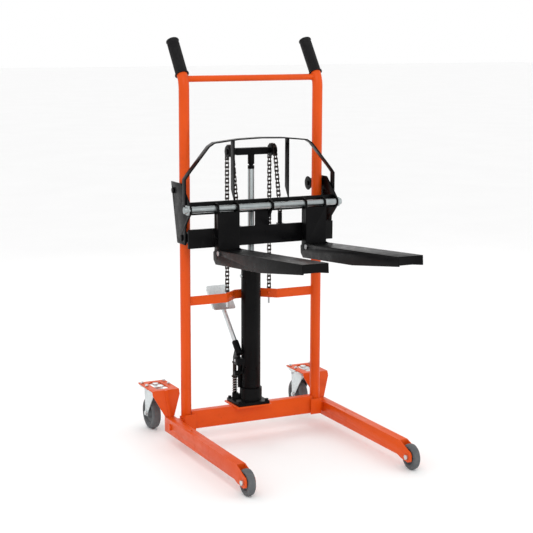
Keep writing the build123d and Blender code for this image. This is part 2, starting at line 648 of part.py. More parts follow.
# ================================================================ legs and front wheels
cheek_outline = [
    (LEG_REAR, LEG_Z), (LEG_REAR, LEG_TOP),
    (-LEG_REACH + WHEEL_SLOT_BACK, LEG_TOP),
    *[(-LEG_REACH + y, AXLE_Z + z) for y, z in TOE],
    (-LEG_REACH + TOE_BACK, LEG_Z),
]
slot_end = -LEG_REACH + WHEEL_SLOT_BACK
for name, side in SIDES.items():
    x = side * LEG_CENTRE_X
    with BuildPart() as leg:
        plate_x(x - LEG_WIDTH / 2, x + LEG_WIDTH / 2, cheek_outline)
        box((x - SLOT_WIDTH / 2, x + SLOT_WIDTH / 2), (slot_end + END_WALL, LEG_REAR + PAST),
            (LEG_Z + LEG_WALL, LEG_TOP - LEG_WALL), mode=Mode.SUBTRACT)
        box((x - SLOT_WIDTH / 2, x + SLOT_WIDTH / 2), (-LEG_REACH - FRONT_WHEEL_D, slot_end),
            (-PAST, LEG_TOP + PAST), mode=Mode.SUBTRACT)
        rod_x(x - LEG_WIDTH, x + LEG_WIDTH, -LEG_REACH, AXLE_Z, AXLE_D / 2, mode=Mode.SUBTRACT)
        rod_x(x - LEG_WIDTH, x + LEG_WIDTH, 0, LEG_BOLT_Z, LEG_BOLT_D / 2, mode=Mode.SUBTRACT)
        rod_z(x, LEG_HOLE_Y, LEG_TOP - LEG_WALL - PAST, LEG_TOP + PAST, LEG_HOLE_D / 2, mode=Mode.SUBTRACT)
    save(leg, f"leg_{name}")


def wheel(x, y, radius, width, hub_half, rim_r, hub_r, face_sink):
    """A rubber-tyred wheel on an axle along X: rounded tread, sunk side faces and a longer hub."""
    with BuildPart() as turned:
        with BuildSketch(Plane.XY.offset(radius)):
            with BuildLine():
                half = width / 2
                Polyline(
                    (x - hub_half, y - AXLE_D / 2 - RUN_FIT), (x - hub_half, y - hub_r),
                    (x - half + face_sink, y - hub_r), (x - half + face_sink, y - rim_r),
                    (x - half, y - rim_r - RIM_STEP), (x - half, y - radius + TREAD_ROUND),
                )
                ThreePointArc((x - half, y - radius + TREAD_ROUND), (x, y - radius),
                              (x + half, y - radius + TREAD_ROUND))
                Polyline(
                    (x + half, y - radius + TREAD_ROUND), (x + half, y - rim_r - RIM_STEP),
                    (x + half - face_sink, y - rim_r), (x + half - face_sink, y - hub_r),
                    (x + hub_half, y - hub_r), (x + hub_half, y - AXLE_D / 2 - RUN_FIT),
                    (x - hub_half, y - AXLE_D / 2 - RUN_FIT),
                )
            make_face()
        revolve(axis=Axis((x, y, radius), (1, 0, 0)))
    return turned


for name, side in SIDES.items():
    front_wheel = wheel(side * LEG_CENTRE_X, -LEG_REACH, FRONT_WHEEL_D / 2, FRONT_WHEEL_WIDTH,
                        SLOT_WIDTH / 2 - FACE_GAP, FRONT_WHEEL_D / 2 * FRONT_RIM_SHARE,
                        AXLE_D / 2 * FRONT_HUB_SHARE, FRONT_FACE_SINK)
    save(front_wheel, f"front_wheel_{name}")

with BuildPart() as front_axles:
    for side in SIDES.values():
        rod_x(side * LEG_INNER_X, side * (LEG_OUTER_X + AXLE_NUT + AXLE_STUB), -LEG_REACH, AXLE_Z,
              AXLE_D / 2)
        hex_x(side * (LEG_INNER_X - AXLE_NUT), side * LEG_INNER_X, -LEG_REACH, AXLE_Z,
              AXLE_D * AXLE_NUT_ACROSS)
        hex_x(side * LEG_OUTER_X, side * (LEG_OUTER_X + AXLE_NUT), -LEG_REACH, AXLE_Z,
              AXLE_D * AXLE_NUT_ACROSS)
save(front_axles, "front_axles")

# ================================================================ rear casters
bolt_spots = [
    (sx * CASTER_BOLTS_X / 2, CASTER_Y + sy * CASTER_BOLTS_Y / 2)
    for sx in (-1, 1)
    for sy in (-1, 1)
]
bracket_line = [
    (BRACKET_REAR, CASTER_TOP_Z + BRACKET_THICK / 2),
    (BRACKET_FRONT, CASTER_TOP_Z + BRACKET_THICK / 2),
    (BRACKET_FOOT_Y, LEG_TOP),
]

for name, side in SIDES.items():
    x = side * LEG_CENTRE_X
    half_top = CASTER_PLATE_X / 2
    half_foot = LEG_WIDTH / 2
    with BuildPart() as caster_bracket:
        plate_x(x - half_top, x + half_top, band(bracket_line, BRACKET_THICK))
        with BuildSketch(Plane.XZ.offset(-BRACKET_REAR - PAST)):
            with BuildLine():
                Polyline((x - half_foot, LEG_TOP), (x - half_top, CASTER_TOP_Z - BRACKET_FLARE),
                         (x - half_top, BRACKET_TOP + PAST), (x + half_top, BRACKET_TOP + PAST),
                         (x + half_top, CASTER_TOP_Z - BRACKET_FLARE), (x + half_foot, LEG_TOP), close=True)
            make_face()
        extrude(amount=BRACKET_REAR + PAST, mode=Mode.INTERSECT)
        with BuildSketch(Plane.XY.offset(CASTER_TOP_Z - PAST)):
            with Locations((x, (CUTOUT_FRONT + CASTER_Y) / 2)):
                Rectangle(CUTOUT_WIDTH, CASTER_Y - CUTOUT_FRONT)
            with Locations((x, CASTER_Y)):
                Circle(CUTOUT_WIDTH / 2)
        extrude(amount=BRACKET_THICK + 2 * PAST, mode=Mode.SUBTRACT)
        plate_x(x - BRACKET_RIB / 2, x + BRACKET_RIB / 2,
                [(BRACKET_FOOT_Y - RIB_LAP, LEG_TOP), (BRACKET_FOOT_Y, LEG_TOP),
                 (BRACKET_FRONT, CASTER_TOP_Z), (BRACKET_FRONT, BRACKET_TOP),
                 (BRACKET_FRONT - RIB_LAP, BRACKET_TOP)])
        for dx, y in bolt_spots:
            rod_z(x + dx, y, CASTER_TOP_Z - PAST, BRACKET_TOP + PAST, CASTER_BOLT_D / 2, mode=Mode.SUBTRACT)
    save(caster_bracket, f"caster_bracket_{name}")

with BuildPart() as caster_plates:
    for side in SIDES.values():
        x = side * LEG_CENTRE_X
        box((x - CASTER_PLATE_X / 2, x + CASTER_PLATE_X / 2),
            (CASTER_Y - CASTER_PLATE_Y / 2, CASTER_Y + CASTER_PLATE_Y / 2), (CASTER_PLATE_Z, CASTER_TOP_Z))
        rod_z(x, CASTER_Y, CASTER_PLATE_Z - RACE_HEIGHT, CASTER_PLATE_Z, RACE_D / 2)
        for dx, y in bolt_spots:
            rod_z(x + dx, y, CASTER_PLATE_Z - PAST, CASTER_TOP_Z + PAST, CASTER_BOLT_D / 2,
                  mode=Mode.SUBTRACT)
        rod_z(x, CASTER_Y, CROWN_Z - KINGPIN_TAIL, CASTER_PLATE_Z, KINGPIN_D / 2)
        rod_z(x, CASTER_Y, CROWN_Z - KINGPIN_TAIL, CROWN_Z - FACE_GAP, KINGPIN_D * PIN_HEAD / 2)
        hex_z(x, CASTER_Y, CASTER_TOP_Z, CASTER_TOP_Z + KINGPIN_HEAD, KINGPIN_D * NUT_ACROSS)
save(caster_plates, "caster_plates")

with BuildPart() as caster_bolts:
    for side in SIDES.values():
        for dx, y in bolt_spots:
            x = side * LEG_CENTRE_X + dx
            hex_z(x, y, CASTER_PLATE_Z - CASTER_BOLT_HEAD, CASTER_PLATE_Z, CASTER_BOLT_D * NUT_ACROSS)
            rod_z(x, y, CASTER_PLATE_Z, BRACKET_TOP + CASTER_BOLT_STUB, CASTER_BOLT_D / 2)
            hex_z(x, y, BRACKET_TOP, BRACKET_TOP + BRACKET_NUT, CASTER_BOLT_D * NUT_ACROSS)
save(caster_bolts, "caster_bolts")

fork_outline = [
    (CASTER_Y - CROWN_FRONT, CROWN_Z + CROWN_THICK),
    (CASTER_Y + FORK_SHOULDER[0][0], CROWN_Z + FORK_SHOULDER[0][1]),
    *[(CASTER_AXLE_Y + y, CASTER_AXLE_Z + z) for y, z in DROPOUT],
    (CASTER_AXLE_Y + FORK_SHOULDER[1][0], CROWN_Z + FORK_SHOULDER[1][1]),
    (CASTER_AXLE_Y + FORK_SHOULDER[2][0], CROWN_Z + CROWN_THICK),
]
brake_pivot = (CASTER_AXLE_Y + BRAKE_PIVOT[0], CROWN_Z + BRAKE_PIVOT[1])
for name, side in SIDES.items():
    x = side * LEG_CENTRE_X
    inner = CASTER_FORK_X
    outer = CASTER_FORK_X + FORK_PLATE
    with BuildPart() as caster_fork:
        for cheek in (-1, 1):
            plate_x(x + cheek * inner, x + cheek * outer, fork_outline)
        box((x - outer, x + outer), (CASTER_Y - CROWN_FRONT, CASTER_AXLE_Y + CROWN_BACK),
            (CROWN_Z, CROWN_Z + CROWN_THICK))
        rod_z(x, CASTER_Y, CROWN_Z, CROWN_TOP, RACE_D / 2 + SIDE_GAP)
        rod_z(x, CASTER_Y, CROWN_Z - PAST, CROWN_TOP + PAST, KINGPIN_D / 2 + RUN_FIT, mode=Mode.SUBTRACT)
        rod_x(x - outer - PAST, x + outer + PAST, CASTER_AXLE_Y, CASTER_AXLE_Z, AXLE_D / 2,
              mode=Mode.SUBTRACT)
        if name == "right":
            rod_x(x - outer - PAST, x + outer + PAST, *brake_pivot, BRAKE_PIN_D / 2 + RUN_FIT,
                  mode=Mode.SUBTRACT)
    save(caster_fork, f"caster_fork_{name}")

    with BuildPart() as caster_axle:
        rod_x(x - outer - CASTER_NUT - CASTER_THREAD, x + outer, CASTER_AXLE_Y, CASTER_AXLE_Z, AXLE_D / 2)
        hex_x(x - outer - CASTER_NUT, x - outer, CASTER_AXLE_Y, CASTER_AXLE_Z, AXLE_D * AXLE_NUT_ACROSS)
        hex_x(x + outer, x + outer + CASTER_NUT, CASTER_AXLE_Y, CASTER_AXLE_Z, AXLE_D * AXLE_NUT_ACROSS)
    save(caster_axle, f"caster_axle_{name}")

    caster_wheel = wheel(x, CASTER_AXLE_Y, CASTER_WHEEL_D / 2, CASTER_WHEEL_WIDTH,
                         CASTER_FORK_X - FACE_GAP, CASTER_WHEEL_D / 2 * CASTER_RIM_SHARE,
                         AXLE_D / 2 * CASTER_HUB_SHARE, CASTER_FACE_SINK)
    save(caster_wheel, f"caster_wheel_{name}")

with BuildPart() as caster_brake_right:
    x = LEG_CENTRE_X
    outer = CASTER_FORK_X + FORK_PLATE
    arm_half = CASTER_FORK_X - SIDE_GAP
    arm_top = brake_pivot[1] + BRAKE_HUB_D / 2
    arm_under = arm_top - BRAKE_THICK
    arm_end = CASTER_AXLE_Y + BRAKE_ARM
    pedal_end = CASTER_AXLE_Y + BRAKE_REACH
    rod_x(x - outer - BRAKE_THICK, x + outer + BRAKE_THICK, *brake_pivot, BRAKE_PIN_D / 2)
    rod_x(x - arm_half, x + arm_half, *brake_pivot, BRAKE_HUB_D / 2)
    plate_x(x - arm_half, x + arm_half,
            [(brake_pivot[0], arm_under), (brake_pivot[0], arm_top), (arm_end, arm_top),
             (arm_end, arm_under)])
    plate_x(x - BRAKE_WIDTH / 2, x + BRAKE_WIDTH / 2,
            [(arm_end - BRAKE_LAP, arm_under), (arm_end - BRAKE_LAP, arm_top),
             (pedal_end - BRAKE_THICK / 2, arm_top + BRAKE_RISE), (pedal_end, arm_under + BRAKE_RISE)])
save(caster_brake_right, "caster_brake_right")

# ================================================================ hydraulic unit
with BuildPart() as hydraulic_base:
    box(BASE_X, BASE_Y, (DECK_TOP, DECK_TOP + BASE_FLANGE))
    rod_z(0, LIFT_Y, DECK_TOP + BASE_FLANGE, COLLAR_TOP, BASE_COLLAR_D / 2)
    rod_z(PUMP_X, PUMP_Y - BARREL_SET, DECK_TOP + BASE_FLANGE, BARREL_TOP, PUMP_BARREL_D / 2)
    box((PUMP_X, 0), (PUMP_Y + GALLERY[0], PUMP_Y + GALLERY[1]),
        (DECK_TOP + BASE_FLANGE, BARREL_TOP - GALLERY_STEP))
    rod_z(PUMP_X, PUMP_Y, BARREL_TOP - PLUNGER_STROKE - PLUNGER_BORE_SPARE, BARREL_TOP + PAST,
          PLUNGER_D / 2 + RUN_FIT,
          mode=Mode.SUBTRACT)
    for x, y in base_bolts:
        rod_z(x, y, DECK_TOP - PAST, DECK_TOP + BASE_FLANGE + PAST, BASE_BOLT_D / 2, mode=Mode.SUBTRACT)
        rod_z(x, y, DECK_TOP + BASE_FLANGE, BARREL_TOP + PAST, BASE_BOLT_D + COUNTERBORE_GAP,
              mode=Mode.SUBTRACT)
save(hydraulic_base, "hydraulic_base")

cheek_outer = PUMP_X - BRACKET_SLOT / 2 - CHEEK
cheek_inner = PUMP_X + BRACKET_SLOT / 2
valve_face = -CYLINDER_D / 2 - VALVE_BOSS
with BuildPart() as cylinder_tube:
    box((cheek_outer, 0), (PIVOT_Y - CHEEK_FRONT, PIVOT_Y + CHEEK_REAR),
        (PIVOT_Z - CHEEK_DROP, PIVOT_Z + CHEEK_RISE))
    box((PUMP_X - BRACKET_SLOT / 2, cheek_inner), (PIVOT_Y + CHEEK_ROOM[0], PIVOT_Y + CHEEK_ROOM[1]),
        (PIVOT_Z - CHEEK_DROP - PAST, PIVOT_Z + CHEEK_RISE + PAST), mode=Mode.SUBTRACT)
    rod_x(cheek_outer - PAST, -CYLINDER_D / 2, PIVOT_Y, PIVOT_Z, PIVOT_D / 2, mode=Mode.SUBTRACT)
    rod_x(valve_face, 0, LIFT_Y, VALVE_Z, VALVE_BOSS_D / 2)
    rod_z(OIL_TUBE_X, OIL_TUBE_Y, COLLAR_TOP, PIVOT_Z - CHEEK_DROP, OIL_TUBE_D / 2)
    rod_z(0, LIFT_Y, COLLAR_TOP, CYLINDER_TOP_Z, CYLINDER_D / 2)
    rod_z(0, LIFT_Y, COLLAR_TOP - PAST, CYLINDER_TOP_Z + PAST, CYLINDER_BORE / 2, mode=Mode.SUBTRACT)
    rod_x(valve_face - PAST, -CYLINDER_BORE / 2 - VALVE_SEAT, LIFT_Y, VALVE_Z, VALVE_STEM_D / 2 + RUN_FIT,
          mode=Mode.SUBTRACT)
    rod_x(-CYLINDER_D / 2 - PAST, -CYLINDER_BORE / 2, LIFT_Y, PLUG_Z, PLUG_D * PLUG_CORE / 2,
          mode=Mode.SUBTRACT)
save(cylinder_tube, "cylinder_tube")

with BuildPart() as filler_plug:
    rod_x(-CYLINDER_BORE / 2 - PAST, -CYLINDER_D / 2, LIFT_Y, PLUG_Z, PLUG_D * PLUG_CORE / 2)
    hex_x(-CYLINDER_D / 2, -CYLINDER_D / 2 - PLUG_HEAD, LIFT_Y, PLUG_Z, PLUG_D)
save(filler_plug, "filler_plug")

with BuildPart() as cylinder_gland:
    rod_z(0, LIFT_Y, CYLINDER_TOP_Z, CYLINDER_TOP_Z + GLAND_HEIGHT, GLAND_D / 2)
    rod_z(0, LIFT_Y, CYLINDER_TOP_Z - GLAND_SPIGOT, CYLINDER_TOP_Z, CYLINDER_BORE / 2 - RUN_FIT)
    rod_z(0, LIFT_Y, CYLINDER_TOP_Z - GLAND_SPIGOT - PAST, CYLINDER_TOP_Z + GLAND_HEIGHT + PAST,
          ROD_D / 2 + RUN_FIT,
          mode=Mode.SUBTRACT)
save(cylinder_gland, "cylinder_gland")

with BuildPart() as lever_pivot_pin:
    rod_x(cheek_outer, -CYLINDER_D / 2 - PAST, PIVOT_Y, PIVOT_Z, PIVOT_D / 2)
    rod_x(cheek_outer - PIVOT_HEAD, cheek_outer, PIVOT_Y, PIVOT_Z, PIVOT_D * PIN_HEAD / 2)
save(lever_pivot_pin, "lever_pivot_pin")

with BuildPart() as release_knob:
    knob_face = valve_face - FACE_GAP
    rod_x(-CYLINDER_BORE / 2 - VALVE_SEAT - PAST, knob_face, LIFT_Y, VALVE_Z, VALVE_STEM_D / 2)
    rod_x(knob_face, knob_face - VALVE_NECK, LIFT_Y, VALVE_Z, VALVE_NECK_D / 2)
    with BuildSketch(Plane.YZ.offset(knob_face - VALVE_NECK)):
        with Locations((LIFT_Y, VALVE_Z)):
            RegularPolygon(VALVE_KNOB_D / 2, 8)
    extrude(amount=VALVE_NECK - VALVE_KNOB)
save(release_knob, "release_knob")

with BuildPart() as pump_plunger:
    rod_z(PUMP_X, PUMP_Y, BARREL_TOP - PLUNGER_DIP, PLUNGER_TOP - PLUNGER_CAP, PLUNGER_D / 2)
    rod_z(PUMP_X, PUMP_Y, SPRING_TOP, SPRING_TOP + SPRING_SEAT, SPRING_D / 2 + SIDE_GAP)
    rod_z(PUMP_X, PUMP_Y, PLUNGER_TOP - PLUNGER_CAP, PLUNGER_TOP, PLUNGER_CAP_D / 2)
save(pump_plunger, "pump_plunger")

with BuildPart() as pump_spring:
    rod_z(PUMP_X, PUMP_Y, BARREL_TOP, SPRING_TOP, SPRING_D / 2)
    rod_z(PUMP_X, PUMP_Y, BARREL_TOP - PAST, SPRING_TOP + PAST, SPRING_D / 2 - SPRING_WIRE,
          mode=Mode.SUBTRACT)
save(pump_spring, "pump_spring")

lever_plane = Plane(
    origin=(PUMP_X, *LEVER_START), x_dir=(1, 0, 0), z_dir=(0, LEVER_DIR[0], LEVER_DIR[1]),
)
tongue_half = BRACKET_SLOT / 2 - SIDE_GAP / 2
with BuildPart() as lever_socket:
    with BuildSketch(lever_plane.offset(-SOCKET_BACK)):
        Circle(SOCKET_D / 2)
    extrude(amount=SOCKET_LENGTH + SOCKET_BACK)
    plate_x(PUMP_X - tongue_half, PUMP_X + tongue_half,
            [(PIVOT_Y - TONGUE_R, PIVOT_Z), (PIVOT_Y - TONGUE_NECK, LEVER_START[1]),
             (PIVOT_Y + TONGUE_BACK, LEVER_START[1] + NOSE_D / 2),
             (PUMP_Y + NOSE_D / 2, PIVOT_Z + NOSE_D / 2), (PUMP_Y + NOSE_D / 2, PIVOT_Z - NOSE_D / 2),
             (PUMP_Y - NOSE_D / 2, PIVOT_Z - NOSE_D / 2), (PIVOT_Y + TONGUE_R, PIVOT_Z)])
    rod_x(PUMP_X - tongue_half, PUMP_X + tongue_half, PIVOT_Y, PIVOT_Z, TONGUE_R)
    rod_x(PUMP_X - tongue_half, PUMP_X + tongue_half, PUMP_Y, PIVOT_Z - NOSE_D / 2, NOSE_D / 2)
    with BuildSketch(lever_plane):
        Circle(LEVER_D / 2)
    extrude(amount=SOCKET_LENGTH + PAST, mode=Mode.SUBTRACT)
    rod_x(PUMP_X - SOCKET_D, PUMP_X + SOCKET_D, PIVOT_Y, PIVOT_Z, PIVOT_D / 2 + RUN_FIT, mode=Mode.SUBTRACT)
save(lever_socket, "lever_socket")

pedal_plane = Plane(
    origin=(PUMP_X, *LEVER_START), x_dir=(1, 0, 0), z_dir=(0, -LEVER_DIR[1], LEVER_DIR[0]),
)
with BuildPart() as pedal_lever:
    with BuildSketch(lever_plane):
        Circle(LEVER_D / 2)
    extrude(amount=LEVER_LENGTH)
    with BuildSketch(lever_plane.offset(-PAST)):
        Circle(LEVER_D / 2 - LEVER_WALL)
    extrude(amount=LEVER_LENGTH - LEVER_CAP, mode=Mode.SUBTRACT)
    with BuildSketch(pedal_plane.offset(LEVER_D / 2 - PEDAL_SINK)):
        with Locations((0, LEVER_LENGTH - PEDAL_LENGTH / 2)):
            RectangleRounded(PEDAL_WIDTH, PEDAL_LENGTH, PEDAL_ROUND)
    extrude(amount=PEDAL_THICK)
    with BuildSketch(pedal_plane.offset(LEVER_D / 2 - PEDAL_SINK - PEDAL_LIP)):
        for across in (-1, 1):
            with Locations((across * (PEDAL_WIDTH - PEDAL_LIP_THICK) / 2, LEVER_LENGTH - PEDAL_LENGTH / 2)):
                Rectangle(PEDAL_LIP_THICK, PEDAL_LENGTH - 2 * PEDAL_LIP_INSET)
    extrude(amount=PEDAL_LIP + PEDAL_THICK / 2)
save(pedal_lever, "pedal_lever")

with BuildPart() as ram_rod:
    rod_z(0, LIFT_Y, ROD_BOTTOM, HEAD_FOOT_Z, ROD_D / 2)
    rod_z(0, LIFT_Y, HEAD_FOOT_Z, HEAD_BAR_Z + ROD_SPIGOT_END, ROD_SPIGOT_D / 2)
    rod_z(0, LIFT_Y, ROD_BOTTOM, ROD_BOTTOM + PISTON_HEIGHT, CYLINDER_BORE / 2 - RUN_FIT)
save(ram_rod, "ram_rod")

# ================================================================ crosshead and chains
with BuildPart() as crosshead:
    box((-HEAD_BAR_LENGTH / 2, HEAD_BAR_LENGTH / 2),
        (LIFT_Y - HEAD_BAR_DEPTH / 2, LIFT_Y + HEAD_BAR_DEPTH / 2),
        (HEAD_BAR_Z, HEAD_BAR_Z + HEAD_BAR_HEIGHT))
    rod_z(0, LIFT_Y, HEAD_BAR_Z - NECK_LENGTH, HEAD_BAR_Z, NECK_D / 2)
    rod_z(0, LIFT_Y, HEAD_FOOT_Z + HEAD_COLLAR, HEAD_BAR_Z - NECK_LENGTH, GROOVE_D / 2)
    rod_z(0, LIFT_Y, HEAD_FOOT_Z, HEAD_FOOT_Z + HEAD_COLLAR, NECK_D / 2)
    rod_z(0, LIFT_Y, HEAD_FOOT_Z - PAST, HEAD_BAR_Z + ROD_SPIGOT_END, ROD_SPIGOT_D / 2, mode=Mode.SUBTRACT)
    pin_end = CHAIN_X + CHAIN_WHEEL_WIDTH / 2
    for side in SIDES.values():
        rod_x(side * HEAD_BAR_LENGTH / 2, side * (pin_end + CHAIN_PIN_END), LIFT_Y, CHAIN_WHEEL_Z,
              CHAIN_PIN_D / 2)
        rod_x(side * HEAD_BAR_LENGTH / 2, side * (CHAIN_X - CHAIN_WHEEL_WIDTH / 2 - FACE_GAP), LIFT_Y,
              CHAIN_WHEEL_Z, CHAIN_PIN_D * PIN_HEAD / 2)
        rod_x(side * (pin_end + FACE_GAP), side * (pin_end + CHAIN_PIN_END), LIFT_Y, CHAIN_WHEEL_Z,
              CHAIN_PIN_D * PIN_HEAD / 2)
save(crosshead, "crosshead")

for name, side in SIDES.items():
    x = side * CHAIN_X
    half = CHAIN_WHEEL_WIDTH / 2
    groove = CHAIN_WIDTH / 2 + FACE_GAP
    with BuildPart() as chain_wheel:
        rod_x(x - half, x + half, LIFT_Y, CHAIN_WHEEL_Z, CHAIN_SEAT_R - FACE_GAP)
        for cheek in (-1, 1):
            rod_x(x + cheek * groove, x + cheek * half, LIFT_Y, CHAIN_WHEEL_Z, CHAIN_FLANGE_R)
        rod_x(x - half - PAST, x + half + PAST, LIFT_Y, CHAIN_WHEEL_Z, CHAIN_PIN_D / 2 + RUN_FIT,
              mode=Mode.SUBTRACT)
    save(chain_wheel, f"chain_wheel_{name}")

with BuildPart() as chain_wraps:
    for side in SIDES.values():
        with BuildSketch(Plane.YZ.offset(side * CHAIN_X - CHAIN_WIDTH / 2)):
            with Locations((LIFT_Y, CHAIN_WHEEL_Z)):
                Circle(CHAIN_SEAT_R + CHAIN_THICK)
                Circle(CHAIN_SEAT_R, mode=Mode.SUBTRACT)
            with Locations((LIFT_Y, CHAIN_WHEEL_Z - CHAIN_R)):
                Rectangle(4 * CHAIN_R, 2 * CHAIN_R, mode=Mode.SUBTRACT)
        extrude(amount=CHAIN_WIDTH)
save(chain_wraps, "chain_wraps")


def strands(y_top, y_low, z_low):
    """A pair of chain strands from the wheels down to their lower ends, as plain bars."""
    half = CHAIN_THICK / 2
    with BuildPart() as pair:
        for side in SIDES.values():
            x = side * CHAIN_X
            plate_x(x - CHAIN_WIDTH / 2, x + CHAIN_WIDTH / 2,
                    [(y_top - half, CHAIN_WHEEL_Z), (y_top + half, CHAIN_WHEEL_Z),
                     (y_low + half, z_low), (y_low - half, z_low)])
    return pair


save(strands(REAR_CHAIN_Y, REAR_CHAIN_Y, REAR_ANCHOR_Z), "chain_rear_strands")
save(strands(FRONT_CHAIN_Y, FRONT_ANCHOR_Y, FRONT_ANCHOR_Z), "chain_front_strands")

# ================================================================ carriage
roller_spots = {
    "upper": (ROLLER_Y, CARRIAGE_Z + ROLLER_UPPER_RISE),
    "lower": (-ROLLER_Y, CARRIAGE_Z - ROLLER_LOWER_DROP),
}
side_outline = [
    (ROLLER_Y + PLATE_REAR, CARRIAGE_Z + PLATE_TOP_RISE), (PLATE_SHOULDER_Y, CARRIAGE_Z + PLATE_TOP_RISE),
    (BARS_FRONT, CARRIAGE_Z + PLATE_BROW_RISE), (SHAFT_Y - NOSE_R / 2, CARRIAGE_Z + NOSE_R),
    (SHAFT_Y - NOSE_R, CARRIAGE_Z + NOSE_R / 2), (SHAFT_Y - NOSE_R, CARRIAGE_Z - NOSE_R / 2),
    (SHAFT_Y - NOSE_R / 2, CARRIAGE_Z - NOSE_R), (-ROLLER_Y - PLATE_CHIN, CARRIAGE_Z - PLATE_CHIN_DROP),
    (-ROLLER_Y - PLATE_TOE, LOWER_BAR_Z + PLATE_TOE_RISE), (PLATE_HEEL_Y, LOWER_BAR_Z + PLATE_TOE_RISE),
]
for name, side in SIDES.items():
    inner = side * PLATE_INNER_X
    outer = side * PLATE_OUTER_X
    with BuildPart() as carriage_side:
        plate_x(inner, outer, side_outline)
        rod_x(inner - side, outer + side, SHAFT_Y, CARRIAGE_Z, SHAFT_D / 2, mode=Mode.SUBTRACT)
        for y, z in roller_spots.values():
            rod_x(inner - side, outer + side, y, z, ROLLER_PIN_D / 2, mode=Mode.SUBTRACT)
    save(carriage_side, f"carriage_side_plate_{name}")

    for level, (y, z) in roller_spots.items():
        x = side * MAST_X
        half = ROLLER_WIDTH / 2
        with BuildPart() as guide_roller:
            rod_x(x - half, x + half, y, z, ROLLER_RIM_R)
            with BuildSketch(Plane(origin=(x, y, z), x_dir=(1, 0, 0), z_dir=(0, 0, 1))):
                with Locations((0, -ROLLER_Y)):
                    Circle(GROOVE_R)
                with Locations((0, ROLLER_Y * 2)):
                    Rectangle(4 * ROLLER_Y, 4 * ROLLER_Y, mode=Mode.SUBTRACT)
            revolve(axis=Axis((x, y, z), (1, 0, 0)), mode=Mode.SUBTRACT)
            rod_x(x - half - PAST, x + half + PAST, y, z, ROLLER_PIN_D / 2 + RUN_FIT, mode=Mode.SUBTRACT)
        save(guide_roller, f"guide_roller_{level}_{name}")

with BuildPart() as roller_pins:
    for side in SIDES.values():
        near = MAST_X + ROLLER_WIDTH / 2 + FACE_GAP
        far = MAST_X - ROLLER_WIDTH / 2 - FACE_GAP
        for y, z in roller_spots.values():
            rod_x(side * (far - ROLLER_PIN_HEAD), side * (PLATE_OUTER_X + ROLLER_PIN_HEAD), y, z,
                  ROLLER_PIN_D / 2)
            rod_x(side * near, side * PLATE_INNER_X, y, z, ROLLER_PIN_HEAD_D / 2)
            rod_x(side * (far - ROLLER_PIN_HEAD), side * far, y, z, ROLLER_PIN_HEAD_D / 2 - SIDE_GAP)
            hex_x(side * PLATE_OUTER_X, side * (PLATE_OUTER_X + ROLLER_PIN_HEAD), y, z, ROLLER_PIN_HEAD_D)
save(roller_pins, "roller_pins")

with BuildPart() as carriage_upper_bar:
    box((-PLATE_INNER_X, PLATE_INNER_X), (BARS_FRONT, BARS_REAR), (UPPER_BAR_Z, UPPER_BAR_TOP))
save(carriage_upper_bar, "carriage_upper_bar")

with BuildPart() as carriage_lower_bar:
    box((-PLATE_INNER_X, PLATE_INNER_X), (BARS_FRONT, BARS_REAR), (LOWER_BAR_Z, LOWER_BAR_TOP))
    for side in SIDES.values():
        x = side * CHAIN_X
        lug_z = LOWER_BAR_TOP - LUG_THICK
        lug_rear = FRONT_ANCHOR_Y + CHAIN_THICK / 2 + FRONT_LUG_REACH
        lug_half = CHAIN_WIDTH / 2 + FRONT_LUG_RIM
        box((x - lug_half, x + lug_half), (BARS_REAR, lug_rear), (lug_z, LOWER_BAR_TOP))
        plate_x(x - FRONT_LUG_RIB / 2, x + FRONT_LUG_RIB / 2,
                [(BARS_REAR, lug_z), (BARS_REAR, lug_z - FRONT_LUG_DROP), (lug_rear, lug_z)])
        box((x - CHAIN_WIDTH / 2, x + CHAIN_WIDTH / 2),
            (FRONT_ANCHOR_Y - CHAIN_THICK / 2, FRONT_ANCHOR_Y + CHAIN_THICK / 2),
            (LOWER_BAR_TOP, FRONT_ANCHOR_Z))
save(carriage_lower_bar, "carriage_lower_bar")

with BuildPart() as carriage_centre_plate:
    box((-REST_PLATE / 2, REST_PLATE / 2), (BARS_FRONT, BARS_FRONT + REST_PLATE_THICK),
        (LOWER_BAR_TOP, UPPER_BAR_Z))
    rest_x = (SHAFT_REST_X - SHAFT_REST / 2, SHAFT_REST_X + SHAFT_REST / 2)
    plate_x(*rest_x, [(BARS_FRONT, CARRIAGE_Z + REST_R), (SHAFT_Y, CARRIAGE_Z + REST_R),
                      (SHAFT_Y - NOSE_R, CARRIAGE_Z + REST_R / 2), (SHAFT_Y - NOSE_R,
                       CARRIAGE_Z - REST_R / 2),
                      (SHAFT_Y, CARRIAGE_Z - REST_R), (BARS_FRONT, LOWER_BAR_TOP + REST_FOOT)])
    rod_x(rest_x[0] - PAST, rest_x[1] + PAST, SHAFT_Y, CARRIAGE_Z, SHAFT_D / 2, mode=Mode.SUBTRACT)
save(carriage_centre_plate, "carriage_centre_plate")

